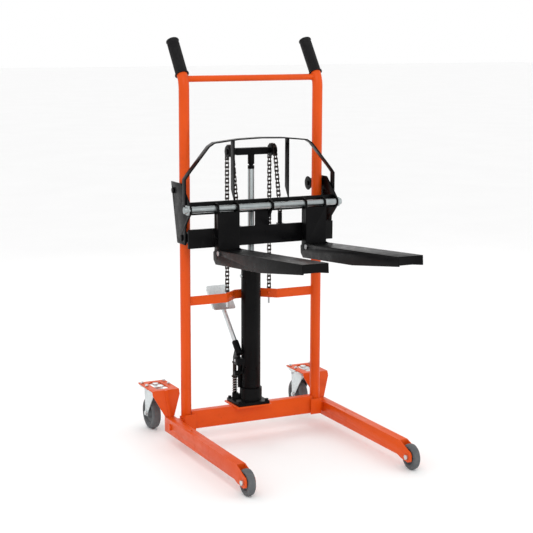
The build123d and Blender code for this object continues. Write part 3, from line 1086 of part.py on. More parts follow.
guard_x = PLATE_OUTER_X + GUARD_THICK / 2
guard_top = CARRIAGE_Z + GUARD_TOP_RISE
guard_half = [
    (guard_x, CARRIAGE_Z + GUARD_FOOT_RISE), (guard_x, CARRIAGE_Z + GUARD_KNEE_RISE),
    (guard_x - GUARD_KNEE, CARRIAGE_Z + GUARD_KNEE_RISE + GUARD_KNEE_STEP),
    (guard_x * GUARD_SHOULDER[0], guard_top - GUARD_SHOULDER_DROP[0]),
    (guard_x * GUARD_SHOULDER[1], guard_top - GUARD_SHOULDER_DROP[1]),
    (guard_x * GUARD_SHOULDER[2], guard_top - GUARD_SHOULDER_DROP[2]),
]
guard_line = guard_half + [(0, guard_top)] + [(-x, z) for x, z in guard_half[::-1]]
guard_rear = GUARD_FRONT + GUARD_DEPTH
with BuildPart() as load_guard:
    with BuildSketch(Plane.XZ.offset(-guard_rear)):
        with BuildLine():
            Polyline(*band(guard_line, GUARD_THICK), close=True)
        make_face()
    extrude(amount=GUARD_DEPTH)
    for side in SIDES.values():
        x = side * GUARD_UPRIGHT_X
        upright_top = guard_top - GUARD_THICK
        plate_x(x - GUARD_THICK / 2, x + GUARD_THICK / 2,
                [(GUARD_FRONT, upright_top), (guard_rear, upright_top),
                 (guard_rear, UPPER_BAR_TOP + UPRIGHT_TAPER),
                 (BARS_REAR, UPPER_BAR_TOP), (GUARD_FRONT, UPPER_BAR_TOP)])
save(load_guard, "load_guard")

with BuildPart() as fork_shaft:
    rod_x(-PLATE_OUTER_X - SHAFT_END, PLATE_OUTER_X + SHAFT_END, SHAFT_Y, CARRIAGE_Z, SHAFT_D / 2)
    for side in SIDES.values():
        hex_x(side * PLATE_OUTER_X, side * (PLATE_OUTER_X + SHAFT_NUT), SHAFT_Y, CARRIAGE_Z, SHAFT_NUT_D)
save(fork_shaft, "fork_shaft")

# ================================================================ forks
flange_outline = [
    (SHANK_REAR, CARRIAGE_Z + EAR_R - EAR_CORNER), (SHAFT_Y + EAR_R / 3, CARRIAGE_Z + EAR_R),
    (SHAFT_Y - EAR_R / 3, CARRIAGE_Z + EAR_R), (SHANK_FRONT + EAR_CORNER / 2, CARRIAGE_Z + EAR_R / 2),
    (SHANK_FRONT, CARRIAGE_Z - EAR_R / 3), (SHANK_FRONT, HINGE_Z + HINGE_LUG_R + FACE_GAP),
    (HINGE_Y - HINGE_LUG_R / 3, HINGE_Z + HINGE_LUG_R - SIDE_GAP), (HINGE_Y - LUG_NOSE,
     HINGE_Z + HINGE_LUG_R / 2),
    (HINGE_Y - LUG_NOSE, HINGE_Z - HINGE_LUG_R / 2), (HINGE_Y - HINGE_LUG_R / 3, SHANK_BOTTOM),
    (SHANK_REAR, SHANK_BOTTOM),
]
stop_y = SHAFT_Y
stop_z = SHANK_BOTTOM - STOP_BAR_D / 2 - FACE_GAP


def on_blade(along, up):
    """A point of the blade, measured from the hinge pin along it and up from it, as Y and Z."""
    return (HINGE_Y + along * BLADE_DIR[0] + up * BLADE_UP[0],
            HINGE_Z + along * BLADE_DIR[1] + up * BLADE_UP[1])


wall_outline = [
    on_blade(-BLADE_BACK, BLADE_TOP - HEEL_STEP), on_blade(-BLADE_BACK + HEEL_RUN, BLADE_TOP),
    on_blade(FORK_LENGTH, BLADE_TOP), on_blade(FORK_LENGTH, BLADE_TOP - BLADE_TIP_DEPTH),
    on_blade(BLADE_KINK, BLADE_TOP - BLADE_HEEL_DEPTH), on_blade(-BLADE_BACK + HEEL_CUT,
             BLADE_TOP - BLADE_HEEL_DEPTH),
    on_blade(-BLADE_BACK, BLADE_TOP - BLADE_HEEL_DEPTH + HEEL_CUT),
]
top_outline = [
    on_blade(BLADE_TOP_START, BLADE_TOP), on_blade(FORK_LENGTH, BLADE_TOP),
    on_blade(FORK_LENGTH, BLADE_TOP - BLADE_WALL), on_blade(BLADE_TOP_START, BLADE_TOP - BLADE_WALL),
]
cap_front = FORK_LENGTH - CAP_SET
cap_rear = cap_front - BLADE_WALL
cap_outline = [
    on_blade(cap_rear, BLADE_TOP - CAP_SET), on_blade(cap_front, BLADE_TOP - CAP_SET),
    on_blade(cap_front, BLADE_TOP - BLADE_TIP_DEPTH + CAP_RISE), on_blade(cap_rear,
             BLADE_TOP - BLADE_TIP_DEPTH + CAP_RISE),
]

for name, x in FORK_PLACES.items():
    half = SHANK_WIDTH / 2
    with BuildPart() as fork_shank:
        for cheek in (-1, 1):
            plate_x(x + cheek * half, x + cheek * (half - SHANK_FLANGE), flange_outline)
        box((x - half, x + half), (SHANK_FRONT, SHANK_FRONT + SHANK_WEB),
            (SHANK_BOTTOM, CARRIAGE_Z - SHAFT_D / 2 - WEB_UNDER_SHAFT))
        rod_x(x - half - PAST, x + half + PAST, SHAFT_Y, CARRIAGE_Z, SHAFT_D / 2 + RUN_FIT,
              mode=Mode.SUBTRACT)
        rod_x(x - half - PAST, x + half + PAST, HINGE_Y, HINGE_Z, HINGE_PIN_D / 2 + RUN_FIT,
              mode=Mode.SUBTRACT)
    save(fork_shank, f"fork_shank_{name}")

    outer = BLADE_WIDTH / 2
    with BuildPart() as fork_blade:
        for cheek in (-1, 1):
            plate_x(x + cheek * outer, x + cheek * (outer - BLADE_WALL), wall_outline)
        plate_x(x - outer, x + outer, top_outline)
        plate_x(x - outer + CAP_SET, x + outer - CAP_SET, cap_outline)
        rod_x(x - outer, x + outer, stop_y, stop_z, STOP_BAR_D / 2)
        rod_x(x - outer - PAST, x + outer + PAST, HINGE_Y, HINGE_Z, HINGE_PIN_D / 2, mode=Mode.SUBTRACT)
    save(fork_blade, f"fork_blade_{name}")

    with BuildPart() as fork_hinge_pin:
        rod_x(x - outer - HINGE_HEAD, x + outer + HINGE_HEAD, HINGE_Y, HINGE_Z, HINGE_PIN_D / 2)
        for cheek in (-1, 1):
            rod_x(x + cheek * outer, x + cheek * (outer + HINGE_HEAD), HINGE_Y, HINGE_Z, HINGE_HEAD_D / 2)
    save(fork_hinge_pin, f"fork_hinge_pin_{name}")
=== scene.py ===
# %% [markdown]
# # A foot-pump stacker, finished from its engineering parts
#
# The parts of this stacker already exist as exact solids: tubes, plates, pins and wheels, each fixed to a
# body that can slide or turn. They are right in size and place, but every edge on them is razor sharp,
# the chains are plain bars and nothing has a finish. In this lesson we load those parts, soften their
# edges, build the pieces that need real detail, give everything its paint, plating or rubber, and light
# it like a catalogue picture.

# %% Load the parts
import json
import random
from math import cos, pi, radians, sin, sqrt

import bmesh
import bpy
from mathutils import Matrix, Quaternion, Vector

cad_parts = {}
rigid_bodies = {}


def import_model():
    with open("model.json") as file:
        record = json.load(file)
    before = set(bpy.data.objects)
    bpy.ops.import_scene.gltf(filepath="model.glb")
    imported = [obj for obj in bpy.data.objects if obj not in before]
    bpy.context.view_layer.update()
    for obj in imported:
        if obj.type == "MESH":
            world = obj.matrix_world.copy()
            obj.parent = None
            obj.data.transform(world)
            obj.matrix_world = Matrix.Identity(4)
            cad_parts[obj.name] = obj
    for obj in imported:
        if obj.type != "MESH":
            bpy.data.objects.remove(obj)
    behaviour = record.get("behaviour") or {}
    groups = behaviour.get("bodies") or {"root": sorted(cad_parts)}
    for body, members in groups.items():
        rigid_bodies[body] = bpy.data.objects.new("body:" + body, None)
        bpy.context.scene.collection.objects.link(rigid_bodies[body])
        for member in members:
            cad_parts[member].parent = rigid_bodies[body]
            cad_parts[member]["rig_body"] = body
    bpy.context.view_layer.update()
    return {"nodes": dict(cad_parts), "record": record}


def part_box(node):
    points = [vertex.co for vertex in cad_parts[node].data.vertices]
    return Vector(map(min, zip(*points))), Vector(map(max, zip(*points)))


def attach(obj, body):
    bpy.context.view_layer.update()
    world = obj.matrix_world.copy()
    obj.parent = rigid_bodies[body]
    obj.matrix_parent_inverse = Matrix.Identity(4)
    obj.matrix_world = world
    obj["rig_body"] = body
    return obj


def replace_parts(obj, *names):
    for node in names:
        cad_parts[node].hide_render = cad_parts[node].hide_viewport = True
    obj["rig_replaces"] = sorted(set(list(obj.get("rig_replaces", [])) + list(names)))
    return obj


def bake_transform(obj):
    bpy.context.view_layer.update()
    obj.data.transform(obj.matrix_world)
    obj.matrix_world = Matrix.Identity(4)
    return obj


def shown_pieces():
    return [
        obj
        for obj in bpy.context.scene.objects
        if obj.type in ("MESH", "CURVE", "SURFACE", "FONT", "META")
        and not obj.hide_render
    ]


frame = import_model()
nodes = frame["nodes"]
slot_of = {entry["node"]: entry["material_slot"] for entry in frame["record"]["subparts"]}
random.seed(7)

# %% [markdown]
# ## Where things are
#
# Every new piece takes its place from the parts themselves. These small helpers read the middle and the
# corners of a part, so that a chain link or a wheel lands exactly where its plain version was. The two
# mast tubes mark the plane that most of the machine is set out from.

# %% Places read from the parts
SIDES = {"left": -1, "right": 1}
MM = 0.001


def corners(node):
    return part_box(node)


def middle(node):
    low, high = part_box(node)
    return (low + high) / 2


tube_low, tube_high = corners("mast_tube_left")
TUBE_R = (tube_high.x - tube_low.x) / 2
MAST_Y = tube_low.y + TUBE_R
MAST_X = -(tube_low.x + tube_high.x) / 2
print("mast plane", round(MAST_Y, 4), "tube centres", round(MAST_X, 4), "tube radius", round(TUBE_R, 4))

# %% [markdown]
# ## A pale room and a camera
#
# A catalogue picture stands the machine on a pale sweep with big soft lights, so that the paint shows its
# colour and the black parts still show their edges. The camera stands a little to the left of the forks
# and slightly above the handles' height, far away and with a long lens, which keeps the uprights nearly
# parallel.

# %% Camera
lens_turn = radians(-26.175)
lens_rise = radians(10.02)
lens_roll = radians(0.176)
lens_distance = 5.6466
aim_right, aim_height = 0.0593, 0.7051
aim = Vector((aim_right * cos(lens_turn), MAST_Y + aim_right * sin(lens_turn), aim_height))
away = Vector((sin(lens_turn) * cos(lens_rise), -cos(lens_turn) * cos(lens_rise), sin(lens_rise)))
camera = bpy.data.objects.new("camera", bpy.data.cameras.new("camera"))
camera.data.lens = 93.47
camera.data.sensor_width = 36.0
camera.data.clip_end = 60.0
camera.location = aim + away * lens_distance
camera.rotation_mode = "QUATERNION"
camera.rotation_quaternion = (-away).to_track_quat("-Z", "Y") @ Quaternion((0, 0, 1), lens_roll)
bpy.context.scene.collection.objects.link(camera)
bpy.context.scene.camera = camera
print("camera at", [round(v, 3) for v in camera.location])

# %% Lights and world


def soft_light(name, place, target, size, power, warmth=1.0):
    lamp = bpy.data.lights.new(name, "AREA")
    lamp.shape = "RECTANGLE"
    lamp.size, lamp.size_y = size
    lamp.energy = power
    lamp.color = (1.0, 0.98 * warmth, 0.96 * warmth)
    holder = bpy.data.objects.new(name, lamp)
    holder.location = place
    holder.rotation_mode = "QUATERNION"
    holder.rotation_quaternion = (Vector(target) - Vector(place)).to_track_quat("-Z", "Y")
    bpy.context.scene.collection.objects.link(holder)
    return holder


soft_light("key_panel", (-1.6, -3.0, 3.4), (0, 0, 0.8), (2.2, 2.2), 34)
soft_light("fill_panel", (3.2, -2.0, 2.0), (0, 0, 0.8), (2.0, 2.6), 10)
soft_light("back_panel", (0.5, 3.4, 3.0), (0, 0, 0.9), (3.0, 1.6), 26)
world = bpy.data.worlds.new("studio")
world.use_nodes = True
world.node_tree.nodes["Background"].inputs["Color"].default_value = (1.0, 1.0, 1.0, 1)
world.node_tree.nodes["Background"].inputs["Strength"].default_value = 1.0
bpy.context.scene.world = world
bpy.context.scene.view_settings.view_transform = "Standard"
print("three panels and a pale world")

# %% [markdown]
# ## Finishes
#
# Real surfaces are never one flat colour. Powder coat has a fine orange-peel ripple and drifts a little
# in tone, satin paint picks up dust and scuffs, zinc plating shows a patchy crystal pattern and rubber is
# dusty in its hollows. All of these can be made from layered noise. One builder makes the layers that
# they share, and each finish then sets its own colours, scales and strengths. The noise reads each
# piece's own object coordinates, so the grain keeps its real size on a large tube and on a small nut.

# %% The finish builder


class Finish:
    """One material, built layer by layer on a single shader."""

    def __init__(self, name, metallic=0.0, coat=0.0, coat_rough=0.2, specular=0.5):
        self.material = bpy.data.materials.new(name)
        self.material.use_nodes = True
        self.tree = self.material.node_tree
        self.shader = self.tree.nodes["Principled BSDF"]
        self.shader.inputs["Metallic"].default_value = metallic
        self.shader.inputs["Coat Weight"].default_value = coat
        self.shader.inputs["Coat Roughness"].default_value = coat_rough
        self.shader.inputs["Specular IOR Level"].default_value = specular
        self.place = self.tree.nodes.new("ShaderNodeTexCoord").outputs["Object"]
        self.height = None

    def link(self, source, target):
        self.tree.links.new(source, target)

    def stretched(self, scale):
        mapping = self.tree.nodes.new("ShaderNodeMapping")
        mapping.inputs["Scale"].default_value = scale
        self.link(self.place, mapping.inputs["Vector"])
        return mapping.outputs["Vector"]

    def noise(self, scale, detail=3.0, rough=0.55, vector=None, distortion=0.0):
        node = self.tree.nodes.new("ShaderNodeTexNoise")
        node.inputs["Scale"].default_value = scale
        node.inputs["Detail"].default_value = detail
        node.inputs["Roughness"].default_value = rough
        node.inputs["Distortion"].default_value = distortion
        self.link(vector or self.place, node.inputs["Vector"])
        return node.outputs["Fac"]

    def cells(self, scale, vector=None, feature="F1"):
        node = self.tree.nodes.new("ShaderNodeTexVoronoi")
        node.feature = feature
        node.inputs["Scale"].default_value = scale
        self.link(vector or self.place, node.inputs["Vector"])
        return node.outputs["Color"] if feature == "F1" else node.outputs["Distance"]

    def between(self, value, low, high, out_low=0.0, out_high=1.0):
        node = self.tree.nodes.new("ShaderNodeMapRange")
        node.inputs["From Min"].default_value = low
        node.inputs["From Max"].default_value = high
        node.inputs["To Min"].default_value = out_low
        node.inputs["To Max"].default_value = out_high
        self.link(value, node.inputs["Value"])
        return node.outputs["Result"]

    def blend(self, factor, first, second):
        node = self.tree.nodes.new("ShaderNodeMix")
        node.data_type = "RGBA"
        self.link(factor, node.inputs["Factor"])
        for side, socket in ((first, node.inputs[6]), (second, node.inputs[7])):
            if isinstance(side, tuple):
                socket.default_value = (*side, 1)
            else:
                self.link(side, socket)
        return node.outputs[2]

    def times(self, first, second):
        node = self.tree.nodes.new("ShaderNodeMath")
        node.operation = "MULTIPLY"
        self.link(first, node.inputs[0])
        if isinstance(second, float):
            node.inputs[1].default_value = second
        else:
            self.link(second, node.inputs[1])
        return node.outputs["Value"]

    def colour(self, source):
        self.link(source, self.shader.inputs["Base Color"])

    def roughness(self, source):
        self.link(source, self.shader.inputs["Roughness"])

    def bump(self, source, depth, strength=1.0):
        node = self.tree.nodes.new("ShaderNodeBump")
        node.inputs["Distance"].default_value = depth
        node.inputs["Strength"].default_value = strength
        self.link(source, node.inputs["Height"])
        if self.height:
            self.link(self.height, node.inputs["Normal"])
        self.height = node.outputs["Normal"]
        self.link(self.height, self.shader.inputs["Normal"])


print("finish builder ready")

# %% [markdown]
# ### Paint
#
# The frame is powder coated orange and the lifting parts are satin black. Powder coat melts into a thick
# skin: a fine ripple in the bump, a gentle drift of tone, a few rubbed patches where the gloss has gone
# dull, and tiny chips down to the grey primer. The black paint is thinner and shows dust and long faint
# scuffs instead.

# %% Orange and black paint


def powder_coat(name, light, deep, primer):
    paint = Finish(name, coat=0.04, coat_rough=0.15, specular=0.16)
    drift = paint.between(paint.noise(3.5, 4.0), 0.3, 0.7)
    tone = paint.blend(drift, deep, light)
    grime = paint.times(paint.between(paint.noise(11.0, 6.0, 0.7), 0.56, 0.82), 0.35)
    tone = paint.blend(grime, tone, tuple(c * 0.45 for c in deep))
    chips = paint.between(paint.noise(85.0, 3.0, 0.6, distortion=0.6), 0.735, 0.75)
    paint.colour(paint.blend(chips, tone, primer))
    paint.roughness(paint.between(paint.noise(22.0, 5.0, 0.65), 0.3, 0.75, 0.28, 0.5))
    paint.bump(paint.noise(700.0, 2.0), 0.00012, 0.35)
    paint.bump(paint.noise(60.0, 2.0), 0.0004, 0.12)
    return paint.material


def satin_black(name):
    paint = Finish(name, coat=0.01, coat_rough=0.2, specular=0.08)
    dust = paint.between(paint.noise(7.0, 6.0, 0.7), 0.45, 0.8)
    tone = paint.blend(dust, (0.0022, 0.0022, 0.0026), (0.0055, 0.0054, 0.0056))
    scuff = paint.noise(55.0, 4.0, 0.7, paint.stretched((1.0, 0.18, 0.18)))
    scuff = paint.between(scuff, 0.64, 0.74)
    paint.colour(paint.blend(paint.times(scuff, 0.5), tone, (0.022, 0.021, 0.020)))
    paint.roughness(paint.between(paint.noise(30.0, 5.0, 0.6), 0.3, 0.75, 0.24, 0.48))
    paint.bump(paint.noise(520.0, 2.0), 0.00012, 0.3)
    return paint.material


FINISHES = {}
FINISHES["orange_paint"] = powder_coat(
    "orange_paint", (0.74, 0.088, 0.006), (0.64, 0.066, 0.004), (0.30, 0.05, 0.01)
)
FINISHES["black_paint"] = satin_black("black_paint")
print("paints:", list(FINISHES))

# %% [markdown]
# ### Plating, steel and chrome
#
# Zinc plating is a patchwork of crystals, so its tone and gloss change from cell to cell, with dull white
# bloom here and there. Machined steel keeps fine turning marks. The fork shaft and the ram are hard
# chrome: smooth and satin grey, with almost no marks.

# %% Metals


def zinc_plate(name):
    plate = Finish(name, metallic=1.0)
    crystals = plate.cells(140.0)
    speckle = plate.noise(260.0, 3.0, 0.6)
    tone = plate.blend(plate.between(crystals, 0.1, 0.9), (0.60, 0.64, 0.65), (0.70, 0.74, 0.745))
    pits = plate.times(plate.between(speckle, 0.45, 0.75), 0.18)
    tone = plate.blend(pits, tone, (0.48, 0.51, 0.52))
    bloom = plate.times(plate.between(plate.noise(14.0, 5.0, 0.7), 0.55, 0.8), 0.5)
    plate.colour(plate.blend(bloom, tone, (0.78, 0.78, 0.77)))
    plate.roughness(plate.between(plate.noise(38.0, 5.0, 0.7), 0.3, 0.75, 0.26, 0.55))
    plate.bump(speckle, 0.00015, 0.25)
    return plate.material


def turned_steel(name, dark, light, rough, grain=380.0, wear=0.45, groove=0.3):
    steel = Finish(name, metallic=1.0)
    rings = steel.noise(grain, 2.0, 0.5, steel.stretched((1.0, 0.06, 0.06)))
    tone = steel.blend(steel.between(rings, 0.3, 0.7), dark, light)
    stain = steel.times(steel.between(steel.noise(18.0, 5.0, 0.7), 0.55, 0.8), wear)
    steel.colour(steel.blend(stain, tone, tuple(c * 0.4 for c in dark)))
    steel.roughness(steel.between(steel.noise(45.0, 4.0, 0.7), 0.3, 0.75, rough, rough + 0.2))
    steel.bump(rings, 0.00006, groove)
    return steel.material


FINISHES["zinc"] = zinc_plate("zinc")
FINISHES["steel"] = turned_steel("steel", (0.30, 0.30, 0.31), (0.52, 0.52, 0.53), 0.24)
FINISHES["hard_chrome"] = turned_steel(
    "hard_chrome", (0.33, 0.365, 0.37), (0.40, 0.435, 0.44), 0.24, grain=40.0, wear=0.05, groove=0.01
)
FINISHES["chain_steel"] = turned_steel("chain_steel", (0.020, 0.015, 0.013), (0.060, 0.047, 0.041), 0.30)
FINISHES["spring_steel"] = turned_steel("spring_steel", (0.34, 0.33, 0.33), (0.56, 0.55, 0.55), 0.28)
print("metals:", [name for name in FINISHES if "paint" not in name])

# %% [markdown]
# ### Rubber
#
# The wheels are a mid-grey non-marking rubber, dusty where they touch the floor, and the grips are black
# and slightly shiny where hands have polished them.

# %% Rubbers


def rubber(name, dark, light, dusty, rough, shine=0.35):
    gum = Finish(name, specular=shine)
    tone = gum.blend(gum.between(gum.noise(16.0, 5.0, 0.65), 0.3, 0.75), dark, light)
    dust = gum.times(gum.between(gum.noise(48.0, 6.0, 0.75), 0.5, 0.8), 0.45)
    gum.colour(gum.blend(dust, tone, dusty))
    gum.roughness(gum.between(gum.noise(60.0, 4.0), 0.3, 0.7, rough, rough + 0.18))
    gum.bump(gum.noise(420.0, 3.0, 0.6), 0.0002, 0.4)
    return gum.material


FINISHES["wheel_rubber"] = rubber(
    "wheel_rubber", (0.075, 0.080, 0.086), (0.12, 0.125, 0.13), (0.22, 0.21, 0.20), 0.6
)
FINISHES["grip_rubber"] = rubber(
    "grip_rubber", (0.007, 0.007, 0.008), (0.013, 0.013, 0.014), (0.025, 0.025, 0.024), 0.45, shine=0.12
)
print(len(FINISHES), "finishes")

# %% [markdown]
# ## Putting a piece into the scene
#
# Each new piece is drawn as a bmesh. When it is finished, this helper turns it into an object, smooths
# the shading wherever neighbouring faces meet at a gentle angle, hangs it on the body it moves with and
# records which plain part it stands for.

# %% Piece helper


def place(name, bm, stands_for=(), body=None, finish=None, smooth_angle=38.0, tidy=True):
    if tidy:
        bmesh.ops.remove_doubles(bm, verts=bm.verts, dist=1e-6)
        bmesh.ops.recalc_face_normals(bm, faces=bm.faces)
    mesh = bpy.data.meshes.new(name)
    bm.to_mesh(mesh)
    bm.free()
    mesh.shade_smooth()
    mesh.set_sharp_from_angle(angle=radians(smooth_angle))
    piece = bpy.data.objects.new(name, mesh)
    bpy.context.scene.collection.objects.link(piece)
    finish = finish or slot_of[stands_for[0]]
    mesh.materials.append(FINISHES[finish])
    if stands_for:
        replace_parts(piece, *stands_for)
    if body:
        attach(piece, body)
    return piece


def body_of(node):
    return nodes[node]["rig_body"]


def shifted(bm, offset, verts=None):
    bmesh.ops.translate(bm, vec=Vector(offset), verts=verts or bm.verts)


def lathe(profile, along, centre, steps=64, closed=True):
    """Spin a profile of (place along the axis, radius) points right round an axis through centre."""
    along = Vector(along).normalized()
    across = along.orthogonal().normalized()
    bm = bmesh.new()
    ring = [bm.verts.new(Vector(centre) + along * s + across * r) for s, r in profile]
    pairs = list(zip(ring, ring[1:] + ring[:1] if closed else ring[1:]))
    edges = [bm.edges.new(pair) for pair in pairs]
    bmesh.ops.spin(bm, geom=ring + edges, cent=centre, axis=along, angle=2 * pi, steps=steps, use_merge=True)
    bmesh.ops.remove_doubles(bm, verts=bm.verts, dist=1e-6)
    bmesh.ops.recalc_face_normals(bm, faces=bm.faces)
    return bm


print("helpers ready")

# %% [markdown]
# ## Rubber grips
#
# The handles end in moulded rubber grips: a flange against the bend, a body of narrow ribs that stop the
# hand from slipping, and a rounded cap. A lathe profile makes all of it in one spin. The grip's own box
# tells us where the bare handle starts and ends, because a disc of the flange's radius sits at each end.

# %% Grips
HANDLE_LEAN = radians(36.5)
FLANGE_R = 28.0 * MM
GRIP_R = 24.5 * MM
RIB_COUNT = 26
lean = Vector((0, sin(HANDLE_LEAN), cos(HANDLE_LEAN)))
for side in SIDES:
    low, high = corners(f"handle_grip_{side}")
    x = (low.x + high.x) / 2
    start = Vector((x, low.y + FLANGE_R * cos(HANDLE_LEAN), low.z + FLANGE_R * sin(HANDLE_LEAN)))
    end = Vector((x, high.y - FLANGE_R * cos(HANDLE_LEAN), high.z - FLANGE_R * sin(HANDLE_LEAN)))
    length = (end - start).length
    bore = TUBE_R + 0.1 * MM
    profile = [(0.0, bore), (0.0, FLANGE_R - MM), (0.8 * MM, FLANGE_R), (3.2 * MM, FLANGE_R)]
    profile += [(4.4 * MM, FLANGE_R - MM), (5.5 * MM, GRIP_R - MM)]
    rib_from, rib_to = 8 * MM, length - 16 * MM
    pitch = (rib_to - rib_from) / RIB_COUNT
    for rib in range(RIB_COUNT):
        s = rib_from + rib * pitch
        profile += [(s, GRIP_R - 1.5 * MM), (s + 0.22 * pitch, GRIP_R - 0.1 * MM), (s + 0.5 * pitch, GRIP_R)]
        profile += [(s + 0.78 * pitch, GRIP_R - 0.1 * MM)]
    profile += [(rib_to, GRIP_R - 1.5 * MM), (length - 9 * MM, GRIP_R), (length - 6 * MM, GRIP_R + 1.5 * MM)]
    profile += [(length - 2.5 * MM, GRIP_R + MM), (length - 0.6 * MM, GRIP_R - 3 * MM)]
    profile += [(length, GRIP_R - 8 * MM)]
    profile += [(length - 0.5 * MM, 2 * MM), (length - 0.5 * MM, 0.0001 * MM)]
    profile += [(length - 7 * MM, 0.0001 * MM), (length - 7 * MM, bore)]
    bm = lathe(profile, lean, start, steps=56)
    place(f"grip_{side}", bm, [f"handle_grip_{side}"], "frame", smooth_angle=50)
print("grips", round(length, 3), "m long")

# %% [markdown]
# ## Roller chain
#
# The carriage hangs on two roller chains. A chain is pairs of figure-eight plates, wide and narrow in
# turn, joined by pins through rollers. One link is small and there are many, so it is kept to a few dozen
# faces: a stadium plate with a pinched waist, copied to both sides, and a short eight-sided roller. Each
# strand grows and shrinks as the mast works, but here its links are set out along a straight line from
# foot to top, and the strand is not hung on either body.

# %% One chain link
PITCH = 15.875 * MM
PLATE_R = 4.5 * MM
PLATE_T = 2.0 * MM
ROLLER_R = 4.3 * MM
PIN_R = 2.2 * MM
CHAIN_HALF = 8.0 * MM
INNER_REACH = 4.9 * MM
OUTER_REACH = 6.95 * MM


def plate(bm, offset, length):
    """A figure-eight side plate, cut from a stadium whose waist is pinched in."""
    start = len(bm.verts)
    bmesh.ops.create_circle(bm, cap_ends=True, segments=12, radius=PLATE_R)
    bm.verts.ensure_lookup_table()
    rim = bm.verts[start:]
    for vert in rim:
        vert.co.y += length / 2 if vert.co.y > 0 else -length / 2
    edges = list({edge for vert in rim for edge in vert.link_edges})
    bmesh.ops.subdivide_edges(bm, edges=sorted(edges, key=lambda edge: -edge.calc_length())[:2], cuts=1)
    bm.verts.ensure_lookup_table()
    for vert in bm.verts[start:]:
        if abs(vert.co.y) < length / 8:
            vert.co.x *= 0.72
    faces = list({face for vert in bm.verts[start:] for face in vert.link_faces})
    push = bmesh.ops.extrude_face_region(bm, geom=faces, use_keep_orig=True)
    shifted(bm, (0, 0, PLATE_T), [item for item in push["geom"] if isinstance(item, bmesh.types.BMVert)])
    bm.verts.ensure_lookup_table()
    shifted(bm, (0, 0, offset - PLATE_T / 2), bm.verts[start:])


def barrel(bm, radius, width, place_y):
    made = bmesh.ops.create_cone(bm, cap_ends=True, segments=8, radius1=radius, radius2=radius, depth=width)
    shifted(bm, (0, place_y, 0), made["verts"])


def link_mesh(outer, length):
    """One link along Y with its pins along Z: two plates, and the pin and roller at its start."""
    bm = bmesh.new()
    reach = OUTER_REACH if outer else INNER_REACH
    for side in (-1, 1):
        plate(bm, side * reach, length)
    barrel(bm, ROLLER_R, 2 * INNER_REACH - PLATE_T, -length / 2)
    barrel(bm, PIN_R, 2 * CHAIN_HALF - 0.2 * MM, -length / 2)
    bmesh.ops.recalc_face_normals(bm, faces=bm.faces)
    mesh = bpy.data.meshes.new("chain_link")
    bm.to_mesh(mesh)
    bm.free()
    return mesh


def chain_along(bm, points):
    """Lay links from pin to pin along a row of points, wide and narrow in turn."""
    length = (points[1] - points[0]).length
    kinds = [link_mesh(outer, length) for outer in (True, False)]
    across = Vector((1, 0, 0))
    for index, (start, end) in enumerate(zip(points, points[1:])):
        along = (end - start).normalized()
        turn = Matrix((along.cross(across), along, across)).transposed().to_4x4()
        first = len(bm.verts)
        bm.from_mesh(kinds[index % 2])
        bm.verts.ensure_lookup_table()
        bmesh.ops.transform(bm, matrix=Matrix.Translation((start + end) / 2) @ turn, verts=bm.verts[first:])
    for mesh in kinds:
        bpy.data.meshes.remove(mesh)


def straight(start, end):
    count = max(2, round((end - start).length / PITCH))
    return [start.lerp(end, step / count) for step in range(count + 1)]


print("link of", round(PITCH / MM, 1), "mm pitch")

# %% Strands and wraps
wheel_centre = middle("chain_wheel_left")
for strand, (first, second), up_end in (
    ("chain_rear_strands", ("frame", "ram"), True),
    ("chain_front_strands", ("ram", "carriage"), False),
):
    low, high = corners(strand)
    y = (low.y + high.y) / 2
    bm = bmesh.new()
    for x in (low.x + CHAIN_HALF, high.x - CHAIN_HALF):
        foot = Vector((x, low.y + PLATE_R, low.z + PLATE_R))
        ends = straight(foot, Vector((x, high.y - PLATE_R, high.z)))
        chain_along(bm, ends)
    piece = place(strand + "_links", bm, [strand], smooth_angle=30, tidy=False)
    if up_end:
        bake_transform(piece)
    else:
        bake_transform(piece)
    print(strand, len(ends) - 1, "links a side")

low, high = corners("chain_wraps")
wrap_r = (high.y - low.y) / 2 - PLATE_R
bm = bmesh.new()
for x in (low.x + CHAIN_HALF, high.x - CHAIN_HALF):
    centre = Vector((x, wheel_centre.y, wheel_centre.z))
    around = [centre + wrap_r * Vector((0, cos(pi * step / 5), sin(pi * step / 5))) for step in range(6)]
    chain_along(bm, around)
place("chain_wrap_links", bm, ["chain_wraps"], "ram", smooth_angle=30, tidy=False)
print("wrap radius", round(wrap_r / MM, 1), "mm")

# %% [markdown]
# ## The pump's return spring
#
# Under the pedal a stiff coil spring pushes the pump plunger back up. A circle spun round the plunger
# while it climbs makes the coil in one step, and its two ends are capped. It squeezes shut as the plunger
# goes down, but here the coil is laid at one fixed length and not hung on any body.

# %% Spring
low, high = corners("pump_spring")
centre = (low + high) / 2
wire = 1.8 * MM
coil_r = (high.x - low.x) / 2 - wire
turns = 6
bm = bmesh.new()
bmesh.ops.create_circle(bm, segments=8, radius=wire)
bmesh.ops.rotate(bm, verts=bm.verts, cent=(0, 0, 0), matrix=Matrix.Rotation(radians(90), 3, "X"))
shifted(bm, (centre.x + coil_r, centre.y, low.z + wire))
climb = (high.z - low.z - 2 * wire) / (turns * 20)
bmesh.ops.spin(bm, geom=list(bm.verts) + list(bm.edges), cent=centre, axis=(0, 0, 1),
               dvec=(0, 0, climb), angle=turns * 2 * pi, steps=turns * 20)
bmesh.ops.holes_fill(bm, edges=[edge for edge in bm.edges if edge.is_boundary])
spring = place("pump_spring_coil", bm, ["pump_spring"], smooth_angle=50)
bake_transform(spring)
print(turns, "turns of", round(2 * wire / MM, 1), "mm wire")

